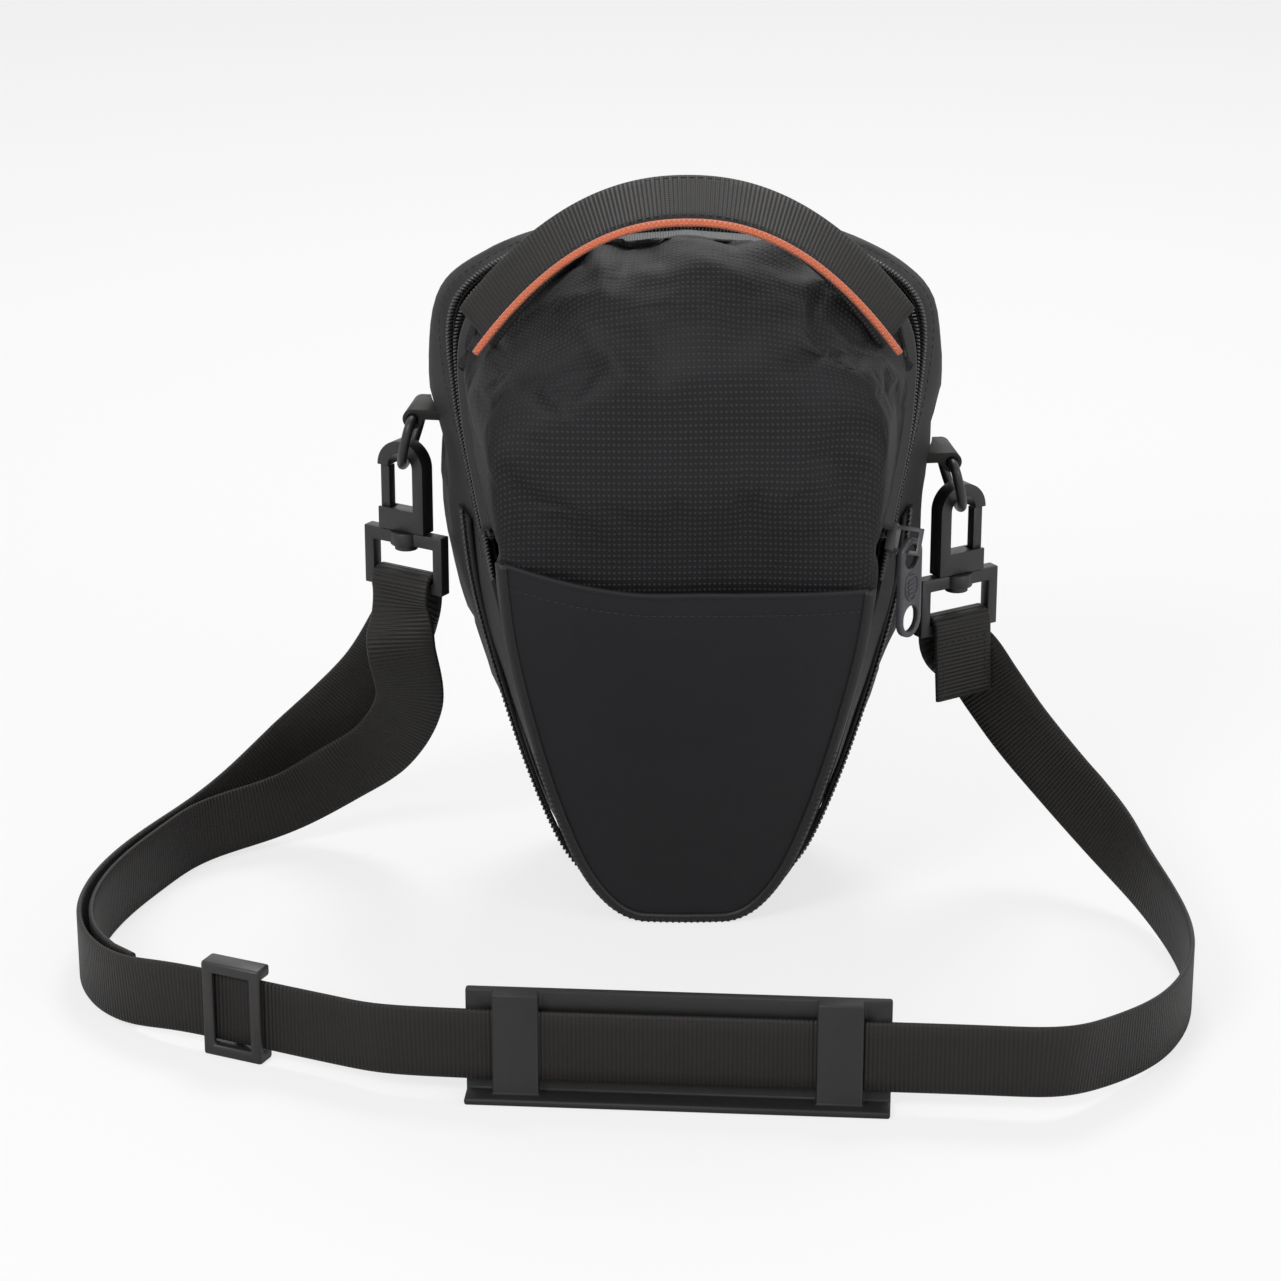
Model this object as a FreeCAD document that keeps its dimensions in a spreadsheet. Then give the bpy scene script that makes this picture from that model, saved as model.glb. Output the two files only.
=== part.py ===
# Soft camera bag: a padded holster that is wide at the top and narrow at the base, with a
# zipped lid flap, a carrying handle, a front slip pocket and a detachable shoulder strap.
#
# Frame: millimetres, X to the wearer's right as seen from the front, -Y to the front, +Z up.
# The origin is the middle of the flat base, on the surface the bag stands on.
import FreeCAD, Part

import math
import os
import re

V = FreeCAD.Vector
FAR = 400.0          # larger than any piece, for the boxes that trim shapes
BASE_SPARE = 0.5     # trimmed off the underside of the lofted body

# ---------------------------------------------------------------------------------------
# Driving dimensions, kept in the spreadsheet "Sizes"
# ---------------------------------------------------------------------------------------
SIZES = {
    # bag body
    "bag_width": 186.0,          # widest outline, near the top
    "bag_height": 246.0,         # base to the top of the lid
    "back_depth": 55.0,          # origin to the back face
    "front_depth": 60.0,         # origin to the upper front face
    "base_front_depth": 33.0,    # origin to the front wall at the base
    "hinge_height": 160.0,       # fold line that the lid flap turns on
    "wall": 5.0,                 # padded wall
    "lining_thick": 1.2,
    "fold_gap": 0.4,             # half the gap at the fold line
    # zips
    "zip_low_height": 133.0,     # where the main zip ends, behind the pocket hem
    "zip_plane_depth": 45.0,     # the zip plane crosses this depth at zip_plane_height
    "zip_plane_height": 140.0,
    "zip_lean": 26.5,            # degrees that the zip plane leans back
    "row_gap": 1.6,              # half the gap between the two open rows
    "row_width": 5.0,            # one coil row with its tape
    "binding_width": 5.0,
    "panel_edge": 6.0,           # depth of the back panel's rim and of the front wall
    "expansion_front": 16.0,     # expansion zip between these two depths
    "expansion_rear": 10.0,
    "expansion_top": 152.0,
    # slip pocket
    "pocket_gap": 6.0,
    "pocket_panel": 2.0,
    "hem_height": 140.0,
    "piping_thick": 1.6,
    # base stiffener and cushion
    "board_width": 44.0,
    "board_depth": 62.0,
    "board_thick": 2.0,
    "cushion_thick": 8.0,
    "soft_gap": 0.3,
    # carrying handle
    "handle_span": 136.0,
    "handle_rise": 40.0,
    "handle_depth": 27.0,        # distance of its centre line in front of the origin
    "cord_radius": 2.0,
    # webbing and strap fittings
    "webbing_width": 25.0,
    "webbing_thick": 2.0,
    "slot_clearance": 0.5,
    "face_clearance": 0.3,
    "glide_length": 22.0,
    "glide_rail": 4.0,
    "glide_bar": 4.0,
    "bar_thick": 2.6,
    "pad_length": 138.0,
    "pad_rail": 6.0,
    "pad_thick": 3.0,
    "pad_bridge": 15.0,
    "pad_ledge": 7.0,
    # rings, hooks and tabs
    "ring_wire": 1.75,
    "ring_half": 14.2,
    "ring_corner": 4.0,
    "ring_seat": 2.5,            # room between the ring and the top of its hook
    "tab_width": 20.0,
    "tab_thick": 1.6,
    "pin_radius": 2.5,
    "pin_clearance": 0.06,
    "pin_head": 4.2,
    "pin_head_thick": 1.6,
    "collar_radius": 5.8,
    "collar_height": 5.0,
    "eye_bar": 4.0,
    "eye_height": 13.0,
    "hook_radius": 5.3,
    "hook_limb": 4.5,
    "hook_thick": 6.5,
    "hook_base": 8.0,
    "hook_shank": 16.0,
    "gate_width": 3.6,
    "gate_pin": 1.0,
    # sliders and pullers
    "slider_length": 9.5,
    "slider_width": 11.0,
    "slider_thick": 3.2,
    "slider_lift": 0.9,
    "bail_bar": 1.4,
    "bail_rise": 8.6,
    "bail_length": 9.6,
    "puller_length": 36.0,
    "puller_width": 12.6,
    "puller_thick": 2.2,
    "puller_rim": 2.0,
    "puller_room": 0.9,          # slack between the puller and the end of the bail
    "puller_eye": 8.6,
    "puller_eye_length": 9.0,
    "puller_loop": 9.5,
    # belt loop
    "loop_width": 50.0,
    "loop_height": 92.0,
    "loop_gap": 6.0,
    "loop_thick": 2.0,
    "loop_seam": 9.0,
}

doc = FreeCAD.newDocument("CameraBag")
sheet = doc.addObject("Spreadsheet::Sheet", "Sizes")
for row, (alias, value) in enumerate(SIZES.items(), start=1):
    sheet.set(f"A{row}", alias)
    sheet.set(f"B{row}", str(value))
    sheet.setAlias(f"B{row}", alias)
doc.recompute()


def size(alias):
    """A driving dimension, read back from the sheet."""
    return float(getattr(sheet, alias))


HALF_WIDTH = size("bag_width") / 2
HEIGHT = size("bag_height")
WALL = size("wall")
LINING = size("lining_thick")
BACK = size("back_depth")
FRONT = size("front_depth")
HINGE_Z = size("hinge_height")
GAP = size("fold_gap")
WEB = size("webbing_width")
WEB_THICK = size("webbing_thick")

PARTS = []           # every sub-part, in the order it is made


def keep(node, obj, placement=None):
    """Name a sub-part and list it for export."""
    obj.Label = node
    if placement is not None:
        obj.Placement = placement
    PARTS.append(obj)
    return obj


def feature(node, shape):
    """A free-form sub-part whose shape is made with Part's own functions."""
    obj = doc.addObject("Part::Feature", node)
    obj.Shape = shape.removeSplitter() if shape.ShapeType != "Solid" else shape
    return keep(node, obj)


def bound(kind, name, sizes, at=("0", "0", "0"), rotation=None):
    """A Part primitive whose sizes and place are expressions on the sheet's values."""
    obj = doc.addObject(kind, name)
    if rotation is not None:
        obj.Placement = FreeCAD.Placement(V(), rotation)
    for prop, text in sizes.items():
        obj.setExpression(prop, text)
    for axis, text in zip("xyz", at):
        obj.setExpression(f".Placement.Base.{axis}", text)
    return obj


def sheet_words(text):
    """Write each driving dimension in an expression as a cell of the sheet."""
    return re.sub(r"[a-z_]+", lambda word: f"Sizes.{word[0]}" if word[0] in SIZES else word[0],
                  text)


def block(name, length, width, height, at):
    """A box with its lower corner at the expressions in `at`."""
    texts = [sheet_words(text) for text in (length, width, height)]
    place = [sheet_words(text) for text in at]
    return bound("Part::Box", name, dict(zip(("Length", "Width", "Height"), texts)), place)


def rod(name, radius, height, at, along="Z"):
    """A cylinder along Z or Y, its first end at the expressions in `at`."""
    turn = FreeCAD.Rotation(V(1, 0, 0), -90) if along == "Y" else None
    sizes = {"Radius": sheet_words(radius), "Height": sheet_words(height)}
    return bound("Part::Cylinder", name, sizes, [sheet_words(text) for text in at], turn)


def fuse(name, pieces):
    obj = doc.addObject("Part::MultiFuse", name)
    obj.Shapes = pieces
    return obj


def cut(name, base, tool):
    obj = doc.addObject("Part::Cut", name)
    obj.Base = base
    obj.Tool = tool
    return obj


# ---------------------------------------------------------------------------------------
# Bag body: outlines across the width, lofted through the depth
# ---------------------------------------------------------------------------------------
# Outline of the widest section: share of the half width, share of the height.
OUTLINE = [(0.30, 0.0), (0.53, 0.085), (0.72, 0.27), (0.905, 0.49), (0.965, 0.66),
           (1.0, 0.79), (0.945, 0.895), (0.70, 0.955), (0.40, 0.988), (0.0, 1.0)]
# How the outline changes through the depth: share of the depth on that side of the
# origin (front is negative), share of the width, share of the height.
STATIONS = [(1.0, 0.93, 0.97), (0.27, 0.965, 1.0), (-0.28, 0.85, 0.985),
            (-0.85, 0.745, 0.95), (-1.0, 0.715, 0.915)]


def outline(depth, width_share, height_share, inset, spare=0.0):
    """One closed outline across the bag at Y = depth, its base flat on the inset, or
    `spare` below it."""
    wide = HALF_WIDTH * width_share
    tall = HEIGHT * height_share
    side = []
    for across, up in OUTLINE:
        x = across * HALF_WIDTH * (width_share if up > 0 else 1.0)
        z = inset + up * (tall - 2 * inset) - (spare if up == 0 else 0)
        side.append((x * (wide - inset) / wide, z))
    points = [V(x, depth, z) for x, z in side]
    points += [V(-x, depth, z) for x, z in reversed(side[:-1])]
    curve = Part.BSplineCurve()
    curve.interpolate(points)
    return Part.Wire([Part.makeLine(points[-1], points[0]), curve.toShape()])


def envelope(inset):
    """The bag's outer shape, or the same shape drawn in by `inset`. It is lofted with
    some spare below and trimmed, so that its underside is one flat face."""
    wires = []
    for depth_share, width_share, height_share in STATIONS:
        depth = depth_share * (BACK if depth_share > 0 else FRONT)
        if abs(depth_share) == 1.0:
            depth -= math.copysign(inset, depth)
        wires.append(outline(depth, width_share, height_share, inset, BASE_SPARE))
    return Part.makeLoft(wires, True, False).common(between(inset))


def leaning_slab(near, far, pivot_y, pivot_z, lean):
    """The space between two parallel planes along X that lean back by `lean` degrees;
    `near` and `far` are distances behind the plane through the pivot."""
    slab = Part.makeBox(2 * FAR, far - near, 2 * FAR, V(-FAR, near, -FAR))
    slab.Placement = FreeCAD.Placement(V(0, pivot_y, pivot_z),
                                       FreeCAD.Rotation(V(1, 0, 0), -lean))
    return slab


def zip_slab(near, far):
    return leaning_slab(near, far, -size("zip_plane_depth"), size("zip_plane_height"),
                        size("zip_lean"))


FRONT_LEAN = -math.degrees(math.atan2(FRONT - size("base_front_depth"), HINGE_Z))


def front_slab(inner, outer):
    """The space `inner` to `outer` in front of the leaning front wall's outer face."""
    return leaning_slab(-outer, -inner, -size("base_front_depth"), 0, FRONT_LEAN)


def between(low=None, high=None, axis="Z"):
    """The space between two values of Y or Z."""
    low = -FAR if low is None else low
    high = FAR if high is None else high
    if axis == "Z":
        return Part.makeBox(2 * FAR, 2 * FAR, high - low, V(-FAR, -FAR, low))
    return Part.makeBox(2 * FAR, high - low, 2 * FAR, V(-FAR, low, -FAR))


def make_bag_body():
    """Walls, lining and zip rows, all sliced from the same hollow envelope."""
    outer = envelope(0).cut(front_slab(0, FAR))
    inner = envelope(WALL).cut(front_slab(-WALL, FAR))
    clear = envelope(WALL + LINING).cut(front_slab(-WALL - LINING, FAR))
    walls = outer.cut(inner)
    lining = inner.cut(clear)

    row_gap = size("row_gap")
    row_edge = row_gap + size("row_width")
    low = size("zip_low_height")
    binding_edge = row_edge + size("binding_width")
    lid_space = zip_slab(-FAR, row_gap).common(between(HINGE_Z - GAP))
    flap_space = zip_slab(-FAR, -row_gap).common(between(HINGE_Z + GAP))

    flap = walls.common(flap_space)
    feature("flap_panel", flap.common(zip_slab(-FAR, -binding_edge)))
    feature("flap_binding", flap.common(zip_slab(-binding_edge, -row_edge)))
    feature("zip_row_flap", flap.common(zip_slab(-row_edge, FAR)))
    feature("flap_lining", lining.common(flap_space))

    fixed = walls.cut(lid_space)
    front_edge = front_slab(-size("panel_edge"), FAR)
    feature("lower_front_wall", fixed.common(front_edge))
    fixed = fixed.cut(front_edge)
    feature("zip_row_bag", fixed.common(zip_slab(row_gap, row_edge)).common(between(low)))
    feature("zip_closed_ends", fixed.common(zip_slab(-FAR, row_gap)).common(between(low)))
    feature("lining", lining.cut(lid_space))

    fixed = fixed.cut(zip_slab(-FAR, row_edge).common(between(low)))
    rim = BACK - size("panel_edge")
    feature("back_panel", fixed.common(between(rim, None, "Y")))
    fixed = fixed.common(between(None, rim, "Y"))

    top = size("expansion_top")
    below_top = between(None, top)
    expansion = between(-size("expansion_front"), -size("expansion_rear"), "Y").common(below_top)
    feature("expansion_zip", fixed.common(expansion))
    forward = between(None, -size("expansion_front"), "Y").common(below_top)
    feature("front_gusset", fixed.common(forward))
    feature("rear_gusset", fixed.cut(expansion).cut(forward))
    return outer


def make_slip_pocket(body):
    """A shallow tray of thin fabric in front of the lower front wall, open at its hem."""
    station = STATIONS[-1]
    gap = size("pocket_gap")
    panel = size("pocket_panel")

    def prism(inset):
        face = Part.Face(outline(-FRONT - FAR / 4, station[1], station[2], inset))
        return face.extrude(V(0, FAR, 0))

    below_hem = between(None, size("hem_height"))
    piping = size("piping_thick")
    tray = prism(piping).common(front_slab(0, gap + panel)).common(below_hem)
    hollow = prism(piping + panel).common(front_slab(0, gap))
    feature("slip_pocket_panel", tray.cut(hollow).cut(body))
    rim = prism(0).cut(prism(piping)).common(front_slab(0, gap + panel)).common(below_hem)
    feature("front_binding", rim.cut(body))


def make_base():
    """A stiff board and a soft cushion at the bottom of the cavity."""
    floor = "wall + lining_thick + soft_gap"
    middle = "(back_depth - base_front_depth) / 2"
    at = ("-board_width / 2", f"{middle} - board_depth / 2", floor)
    keep("base_board", block("base_board", "board_width", "board_depth", "board_thick", at))
    at = at[:2] + (f"{floor} + board_thick + soft_gap",)
    keep("base_cushion", block("base_cushion", "board_width", "board_depth",
                               "cushion_thick", at))


# ---------------------------------------------------------------------------------------
# Bands of webbing: flat sections lofted one to the next
# ---------------------------------------------------------------------------------------
def unit(vector):
    result = V(vector)
    result.normalize()
    return result


def band(stations, width, thick):
    """A webbing band; each station is (point, direction its broad face looks), and the
    same face stays outward from one station to the next."""
    points = [point for point, _ in stations]
    wires = []
    last = None
    for index, (point, facing) in enumerate(stations):
        before = points[max(index - 1, 0)]
        after = points[min(index + 1, len(points) - 1)]
        along = unit(after - before)
        if facing is None:
            facing = along.cross(V(0, 0, 1))
        normal = unit(facing - along * facing.dot(along))
        if last is not None and normal.dot(last) < 0:
            normal = normal * -1
        last = normal
        across = along.cross(normal)
        corners = [point + across * (width / 2 * a) + normal * (thick / 2 * b)
                   for a, b in ((-1, -1), (1, -1), (1, 1), (-1, 1))]
        wires.append(Part.makePolygon(corners + corners[:1]))
    return Part.makeLoft(wires, True, True)


def round_band(points, radius, sides=10):
    """A cord as a ruled loft of regular polygons."""
    wires = []
    for index, point in enumerate(points):
        before = points[max(index - 1, 0)]
        after = points[min(index + 1, len(points) - 1)]
        along = unit(after - before)
        first = unit(along.cross(V(0, 1, 0)))
        second = along.cross(first)
        turns = [2 * math.pi * k / sides for k in range(sides)]
        ring = [point + first * (radius * math.cos(a)) + second * (radius * math.sin(a))
                for a in turns]
        wires.append(Part.makePolygon(ring + ring[:1]))
    return Part.makeLoft(wires, True, True)


def make_handle(body):
    """Webbing handle that arches over the lid, with a braided cord along its front edge."""
    half = size("handle_span") / 2
    top = HEIGHT + 18.0
    rise = size("handle_rise")
    steps = 16
    centre = []
    for k in range(steps + 1):
        across = -1 + 2 * k / steps
        drop = rise * abs(across) ** 2.2
        centre.append(V(half * across, -size("handle_depth"), top - drop))
    facing = V(0, 0, 1)
    strip = band([(point, facing) for point in centre], WEB, WEB_THICK)
    feature("handle_webbing", strip.cut(body))
    radius = size("cord_radius")
    edge = V(0, -WEB / 2 - radius - size("face_clearance") / 3, 0)
    feature("handle_cord", round_band([point + edge for point in centre], radius).cut(body))


# ---------------------------------------------------------------------------------------
# Rings, tabs and swivel hooks at the two sides
# ---------------------------------------------------------------------------------------
# side: sign of X, share of the height that its ring's bar is at
SIDES = {"left": (-1, 0.711), "right": (1, 0.646)}
HOOK_TURN = 32.0             # a hook's face looks this far round from the front
RING_TURN = 8.0              # a ring's bar is turned this far from the depth axis
RING_DEPTH = 20.0            # the rings sit this far behind the origin
RING_TILT = 15.0             # a ring hangs out from the gusset by this angle
RING_STANDOFF = 6.2          # ring bar to the gusset's face


def skin_x(body, y, z):
    """Half width of the bag's outer face at one depth and height."""
    line = Part.makeLine(V(0, y, z), V(FAR, y, z))
    return body.common(line).BoundBox.XMax


def ring_place(body, side):
    """Placement of a ring: its bar along local Y at the origin, the ring below it."""
    sign, height_share = SIDES[side]
    z = height_share * HEIGHT
    x = skin_x(body, RING_DEPTH, z) + RING_STANDOFF
    turn = FreeCAD.Rotation(V(0, 0, 1), sign * RING_TURN)
    tilt = FreeCAD.Rotation(V(0, 1, 0), -sign * RING_TILT)
    return FreeCAD.Placement(V(sign * x, RING_DEPTH, z), turn.multiply(tilt))


def ring_drop():
    """Bar to the middle of the wire at the ring's lowest point."""
    return size("ring_half") + size("ring_corner") + 2.0


def make_ring(body, side):
    wire = size("ring_wire")
    half = size("ring_half")
    corner = size("ring_corner")
    low = -(ring_drop() - half)
    inner = half - corner
    slant = corner * math.sqrt(0.5)

    def at(y, z):
        return V(0, y, z)

    edges = [
        Part.makeLine(at(-inner, 0), at(inner, 0)),
        Part.Arc(at(inner, 0), at(inner + slant, slant - corner), at(half, -corner)).toShape(),
        Part.makeLine(at(half, -corner), at(half, low)),
        Part.Arc(at(half, low), at(0, low - half), at(-half, low)).toShape(),
        Part.makeLine(at(-half, low), at(-half, -corner)),
        Part.Arc(at(-half, -corner), at(-inner - slant, slant - corner),
                 at(-inner, 0)).toShape(),
    ]
    path = Part.Wire(edges)
    profile = Part.Wire(Part.makeCircle(wire, at(-inner, 0), V(0, 1, 0)))
    ring = path.makePipeShell([profile], True, True)
    obj = doc.addObject("Part::Feature", f"d_ring_{side}")
    obj.Shape = ring
    keep(f"d_ring_{side}", obj, ring_place(body, side))


def make_tab(body, side):
    """A webbing tab: a sleeve round the ring's bar and a leaf sewn to the gusset."""
    sign = SIDES[side][0]
    bore = size("ring_wire") + size("face_clearance")
    outside = bore + size("tab_thick")
    width = size("tab_width")
    reach = outside + RING_STANDOFF + 3.0
    start = V(0, -width / 2, 0)
    sleeve = Part.makeCylinder(outside, width, start, V(0, 1, 0))
    leaf = Part.makeBox(reach, width, outside)
    leaf.translate(V(0 if sign < 0 else -reach, -width / 2, 0))
    shape = sleeve.fuse(leaf).cut(Part.makeCylinder(bore, width, start, V(0, 1, 0)))
    turn = FreeCAD.Rotation(V(0, 0, 1), sign * RING_TURN)
    shape.Placement = FreeCAD.Placement(ring_place(body, side).Base, turn)
    feature(f"ring_tab_{side}", shape.cut(body))


def hook_place(body, side):
    """Placement of a hook: local origin in the middle of its swivel collar."""
    turn = SIDES[side][0] * HOOK_TURN
    ring = ring_place(body, side)
    wire = ring.multVec(V(0, 0, -ring_drop()))
    reach = (size("collar_height") / 2 + size("face_clearance") + size("hook_base")
             + size("hook_shank") + size("hook_radius") - size("ring_wire")
             - size("ring_seat"))
    return FreeCAD.Placement(wire - V(0, 0, reach), FreeCAD.Rotation(V(0, 0, 1), turn))


BASE_Z = "(collar_height / 2 + face_clearance)"          # underside of the hook's base
SHANK_Z = f"({BASE_Z} + hook_base)"
CROOK_Z = f"({SHANK_Z} + hook_shank)"                    # centre of the hook's round top
HOOK_HALF = "(hook_radius + hook_limb)"
GATE_Z = f"({BASE_Z} + hook_base * 0.72)"                # gate's pin
GATE_X = f"({HOOK_HALF} - hook_limb / 2)"
GATE_SWING = "(gate_width * 0.72 + 0.4)"                 # room round the gate's foot


def make_hook(body, side):
    """Hook frame: base with a headed swivel pin, back limb and round top."""
    place = hook_place(body, side)
    base = block(f"base_{side}", f"2 * {HOOK_HALF}", "hook_thick", "hook_base",
                 (f"-{HOOK_HALF}", "-hook_thick / 2", BASE_Z))
    limb = block(f"limb_{side}", "hook_limb", "hook_thick", "hook_shank",
                 (f"-{HOOK_HALF}", "-hook_thick / 2", SHANK_Z))
    disc = rod(f"disc_{side}", HOOK_HALF, "hook_thick",
               ("0", "-hook_thick / 2", CROOK_Z), along="Y")
    hollow = rod(f"hollow_{side}", "hook_radius", "hook_thick + 2",
                 ("0", "-hook_thick / 2 - 1", CROOK_Z), along="Y")
    lower = block(f"lower_{side}", f"2 * {HOOK_HALF}", "hook_thick + 2", HOOK_HALF,
                  (f"-{HOOK_HALF}", "-hook_thick / 2 - 1", f"{CROOK_Z} - {HOOK_HALF}"))
    crook = cut(f"crook_{side}", disc, fuse(f"crook_space_{side}", [hollow, lower]))
    pin = rod(f"pin_{side}", "pin_radius", "collar_height + 2 * face_clearance",
              ("0", "0", "-collar_height / 2 - face_clearance"))
    head = rod(f"head_{side}", "pin_head", "pin_head_thick",
               ("0", "0", "-collar_height / 2 - face_clearance - pin_head_thick"))
    frame = fuse(f"frame_{side}", [base, limb, crook, pin, head])
    slot = block(f"slot_{side}", "hook_limb * 2", "gate_width + 2 * face_clearance",
                 "hook_base", (f"{GATE_X} - {GATE_SWING}",
                               "-gate_width / 2 - face_clearance",
                               f"{GATE_Z} - {GATE_SWING}"))
    slotted = cut(f"slotted_{side}", frame, slot)
    gate_pin = rod(f"gate_pin_{side}", "gate_pin", "hook_thick",
                   (GATE_X, "-hook_thick / 2", GATE_Z), along="Y")
    hook = fuse(f"hook_{side}", [slotted, gate_pin])
    spin = FreeCAD.Rotation(V(0, 0, 1), 0 if side == "right" else 180)
    keep(f"hook_{side}", hook, place.multiply(FreeCAD.Placement(V(), spin)))

    foot = "gate_width / 2"
    height = f"{CROOK_Z} - {GATE_Z} + {foot} - face_clearance * 2"
    bar = block(f"gate_bar_{side}", "gate_width", "gate_width", height,
                (f"{GATE_X} - {foot}", f"-{foot}", f"{GATE_Z} - {foot}"))
    bore = rod(f"gate_bore_{side}", "gate_pin + pin_clearance", "hook_thick",
               (GATE_X, "-hook_thick / 2", GATE_Z), along="Y")
    gate = cut(f"hook_gate_{side}", bar, bore)
    keep(f"hook_gate_{side}", gate, place.multiply(FreeCAD.Placement(V(), spin)))

    collar = rod(f"collar_{side}", "collar_radius", "collar_height",
                 ("0", "0", "-collar_height / 2"))
    wide = "(webbing_width + 2 * slot_clearance)"
    loop = block(f"loop_{side}", f"{wide} + 2 * eye_bar", "eye_bar + 1",
                 "collar_height + eye_height + eye_bar",
                 (f"-{wide} / 2 - eye_bar", "-eye_bar / 2 - 0.5",
                  "-collar_height / 2 - eye_height - eye_bar"))
    window = block(f"window_{side}", wide, "eye_bar + 6", "eye_height",
                   (f"-{wide} / 2", "-eye_bar / 2 - 3", "-collar_height / 2 - eye_height"))
    bore = rod(f"bore_{side}", "pin_radius + pin_clearance", "collar_height + 2",
               ("0", "0", "-collar_height / 2 - 1"))
    eye = cut(f"swivel_eye_{side}", fuse(f"eye_{side}", [collar, loop]),
              fuse(f"eye_space_{side}", [window, bore]))
    keep(f"swivel_eye_{side}", eye, place)


# ---------------------------------------------------------------------------------------
# Shoulder strap, tri-glide and shoulder pad
# ---------------------------------------------------------------------------------------
EDGE_Z = WEB / 2                       # centre height of webbing standing on its edge
GLIDE_Z = WEB / 2 + size("slot_clearance") + size("glide_rail")
PAD_Z = WEB / 2 + size("slot_clearance") + size("pad_rail")
GLIDE_MID = V(-150, -143, GLIDE_Z)
GLIDE_ALONG = unit(V(0.90, -0.42, 0))
PAD_MID = V(-4, -178, PAD_Z)
PAD_ALONG = unit(V(1, -0.075, 0))


def wrap_eye(body, side, entry_first):
    """Stations round the lower bar of a swivel eye, from the front face to the back one,
    or the other way round."""
    place = hook_place(body, side)
    low = -(size("collar_height") / 2 + size("eye_height") + size("eye_bar") / 2)
    radius = size("eye_bar") * 0.82 + size("face_clearance") + WEB_THICK / 2
    stations = []
    for k in range(9):
        angle = math.radians(180 * k / 8)
        local = V(0, -radius * math.cos(angle), radius * math.sin(angle) + low)
        outward = V(0, -math.cos(angle), math.sin(angle))
        stations.append((place.multVec(local), place.Rotation.multVec(outward)))
    stations = stations if entry_first == "front" else stations[::-1]
    return [(point, -facing) for point, facing in stations]


def offset(points, distance):
    """The same floor route moved sideways, towards the bag, for the second layer."""
    moved = []
    for index, point in enumerate(points):
        before = points[max(index - 1, 0)]
        after = points[min(index + 1, len(points) - 1)]
        along = unit(after - before)
        moved.append(point + along.cross(V(0, 0, 1)) * -distance)
    return moved


def strap_stations(body):
    """The one length of webbing: sewn at the right hook, along the floor in front, round
    the far left, up and through the left hook, and back down to the tri-glide."""
    right = wrap_eye(body, "right", "front")
    left = wrap_eye(body, "left", "back")
    behind = V(0, 1, 0)
    tab_end = right[0][0] + V(1.0, -1.2, -26)
    stations = [(tab_end, right[0][1]), (right[0][0] + V(0.4, -0.6, -13), right[0][1])]
    stations += right
    stations.append((right[-1][0] + V(0.6, 0.8, -8), right[-1][1]))
    stations += [(V(*point), V(0.15, 1, 0.1)) for point in
                 ((106, 27, 78), (113, 24, 68), (124, 16, 54), (138, 3, 40), (152, -14, 28))]
    stations += [(V(162, -32, 19), V(0.55, 0.8, 0.1)), (V(169, -54, 14.5), V(0.9, 0.35, 0))]
    front = [V(173, -80, EDGE_Z), V(172, -106, EDGE_Z), V(166, -130, EDGE_Z),
             V(154, -153, EDGE_Z + 1), V(136, -172, EDGE_Z + 3)]
    front += [PAD_MID + PAD_ALONG * reach for reach in (122, 90, -80)]
    front += [GLIDE_MID + GLIDE_ALONG * reach for reach in (40, 0, -26)]
    sweep = [V(-190, -121, EDGE_Z + 1), V(-204, -103, EDGE_Z), V(-211, -80, EDGE_Z),
             V(-211, -55, EDGE_Z), V(-205, -29, EDGE_Z), V(-195, -4, EDGE_Z),
             V(-182, 20, EDGE_Z + 1), V(-166, 38, EDGE_Z + 8)]
    stations += [(point, None) for point in front + sweep]
    stations += [(V(-148, 48, 34), V(0.2, -1, -0.1)), (V(-130, 48, 50), V(0, -1, 0)),
                 (V(-115, 42, 68), V(0, -1, 0)), (V(-105, 35, 86), V(-0.2, -1, 0))]
    stations.append((left[0][0] + V(-0.6, 1.0, -8), left[0][1]))
    stations += left
    stations.append((left[-1][0] + V(0, -0.6, -8), left[-1][1]))
    inner = offset(sweep, -(WEB_THICK + 2.2))
    stations += [(V(-103, 12, 88), V(0, 1, 0)), (V(-101, 20, 64), V(0, 1, 0)),
                 (V(-112, 31, 42), V(0, 1, 0)), (V(-131, 38, 27), V(-0.1, 1, 0)),
                 (V(-150, 34, 17), V(-0.5, 1, 0))]
    stations += [(point, None) for point in reversed(inner[:-1])]
    return stations


def along_run(mid, along):
    """Placement with local X along a straight run of the strap and local Y to the bag."""
    angle = math.degrees(math.atan2(along.y, along.x))
    return FreeCAD.Placement(mid, FreeCAD.Rotation(V(0, 0, 1), angle))


def make_tri_glide():
    """A moulded slider buckle: two rails, two outer bars in front, a centre bar behind."""
    tall = "(webbing_width + 2 * slot_clearance)"
    face = "(webbing_thick / 2 + face_clearance)"
    rail_size = ("glide_length", f"2 * ({face} + bar_thick)", "glide_rail")
    start = ("-glide_length / 2", f"-{face} - bar_thick")
    top = block("glide_top", *rail_size, start + (f"{tall} / 2",))
    bottom = block("glide_bottom", *rail_size, start + (f"-{tall} / 2 - glide_rail",))
    bars = []
    for name, x, y in (("left", "-glide_length / 2", f"-{face} - bar_thick"),
                       ("right", "glide_length / 2 - glide_bar", f"-{face} - bar_thick"),
                       ("centre", "-glide_bar / 2", face)):
        bars.append(block(f"glide_{name}", "glide_bar", "bar_thick",
                          f"{tall} + 2 * glide_rail", (x, y, f"-{tall} / 2 - glide_rail")))
    glide = fuse("tri_glide", [top, bottom] + bars)
    keep("tri_glide", glide, along_run(GLIDE_MID, GLIDE_ALONG))


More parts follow.
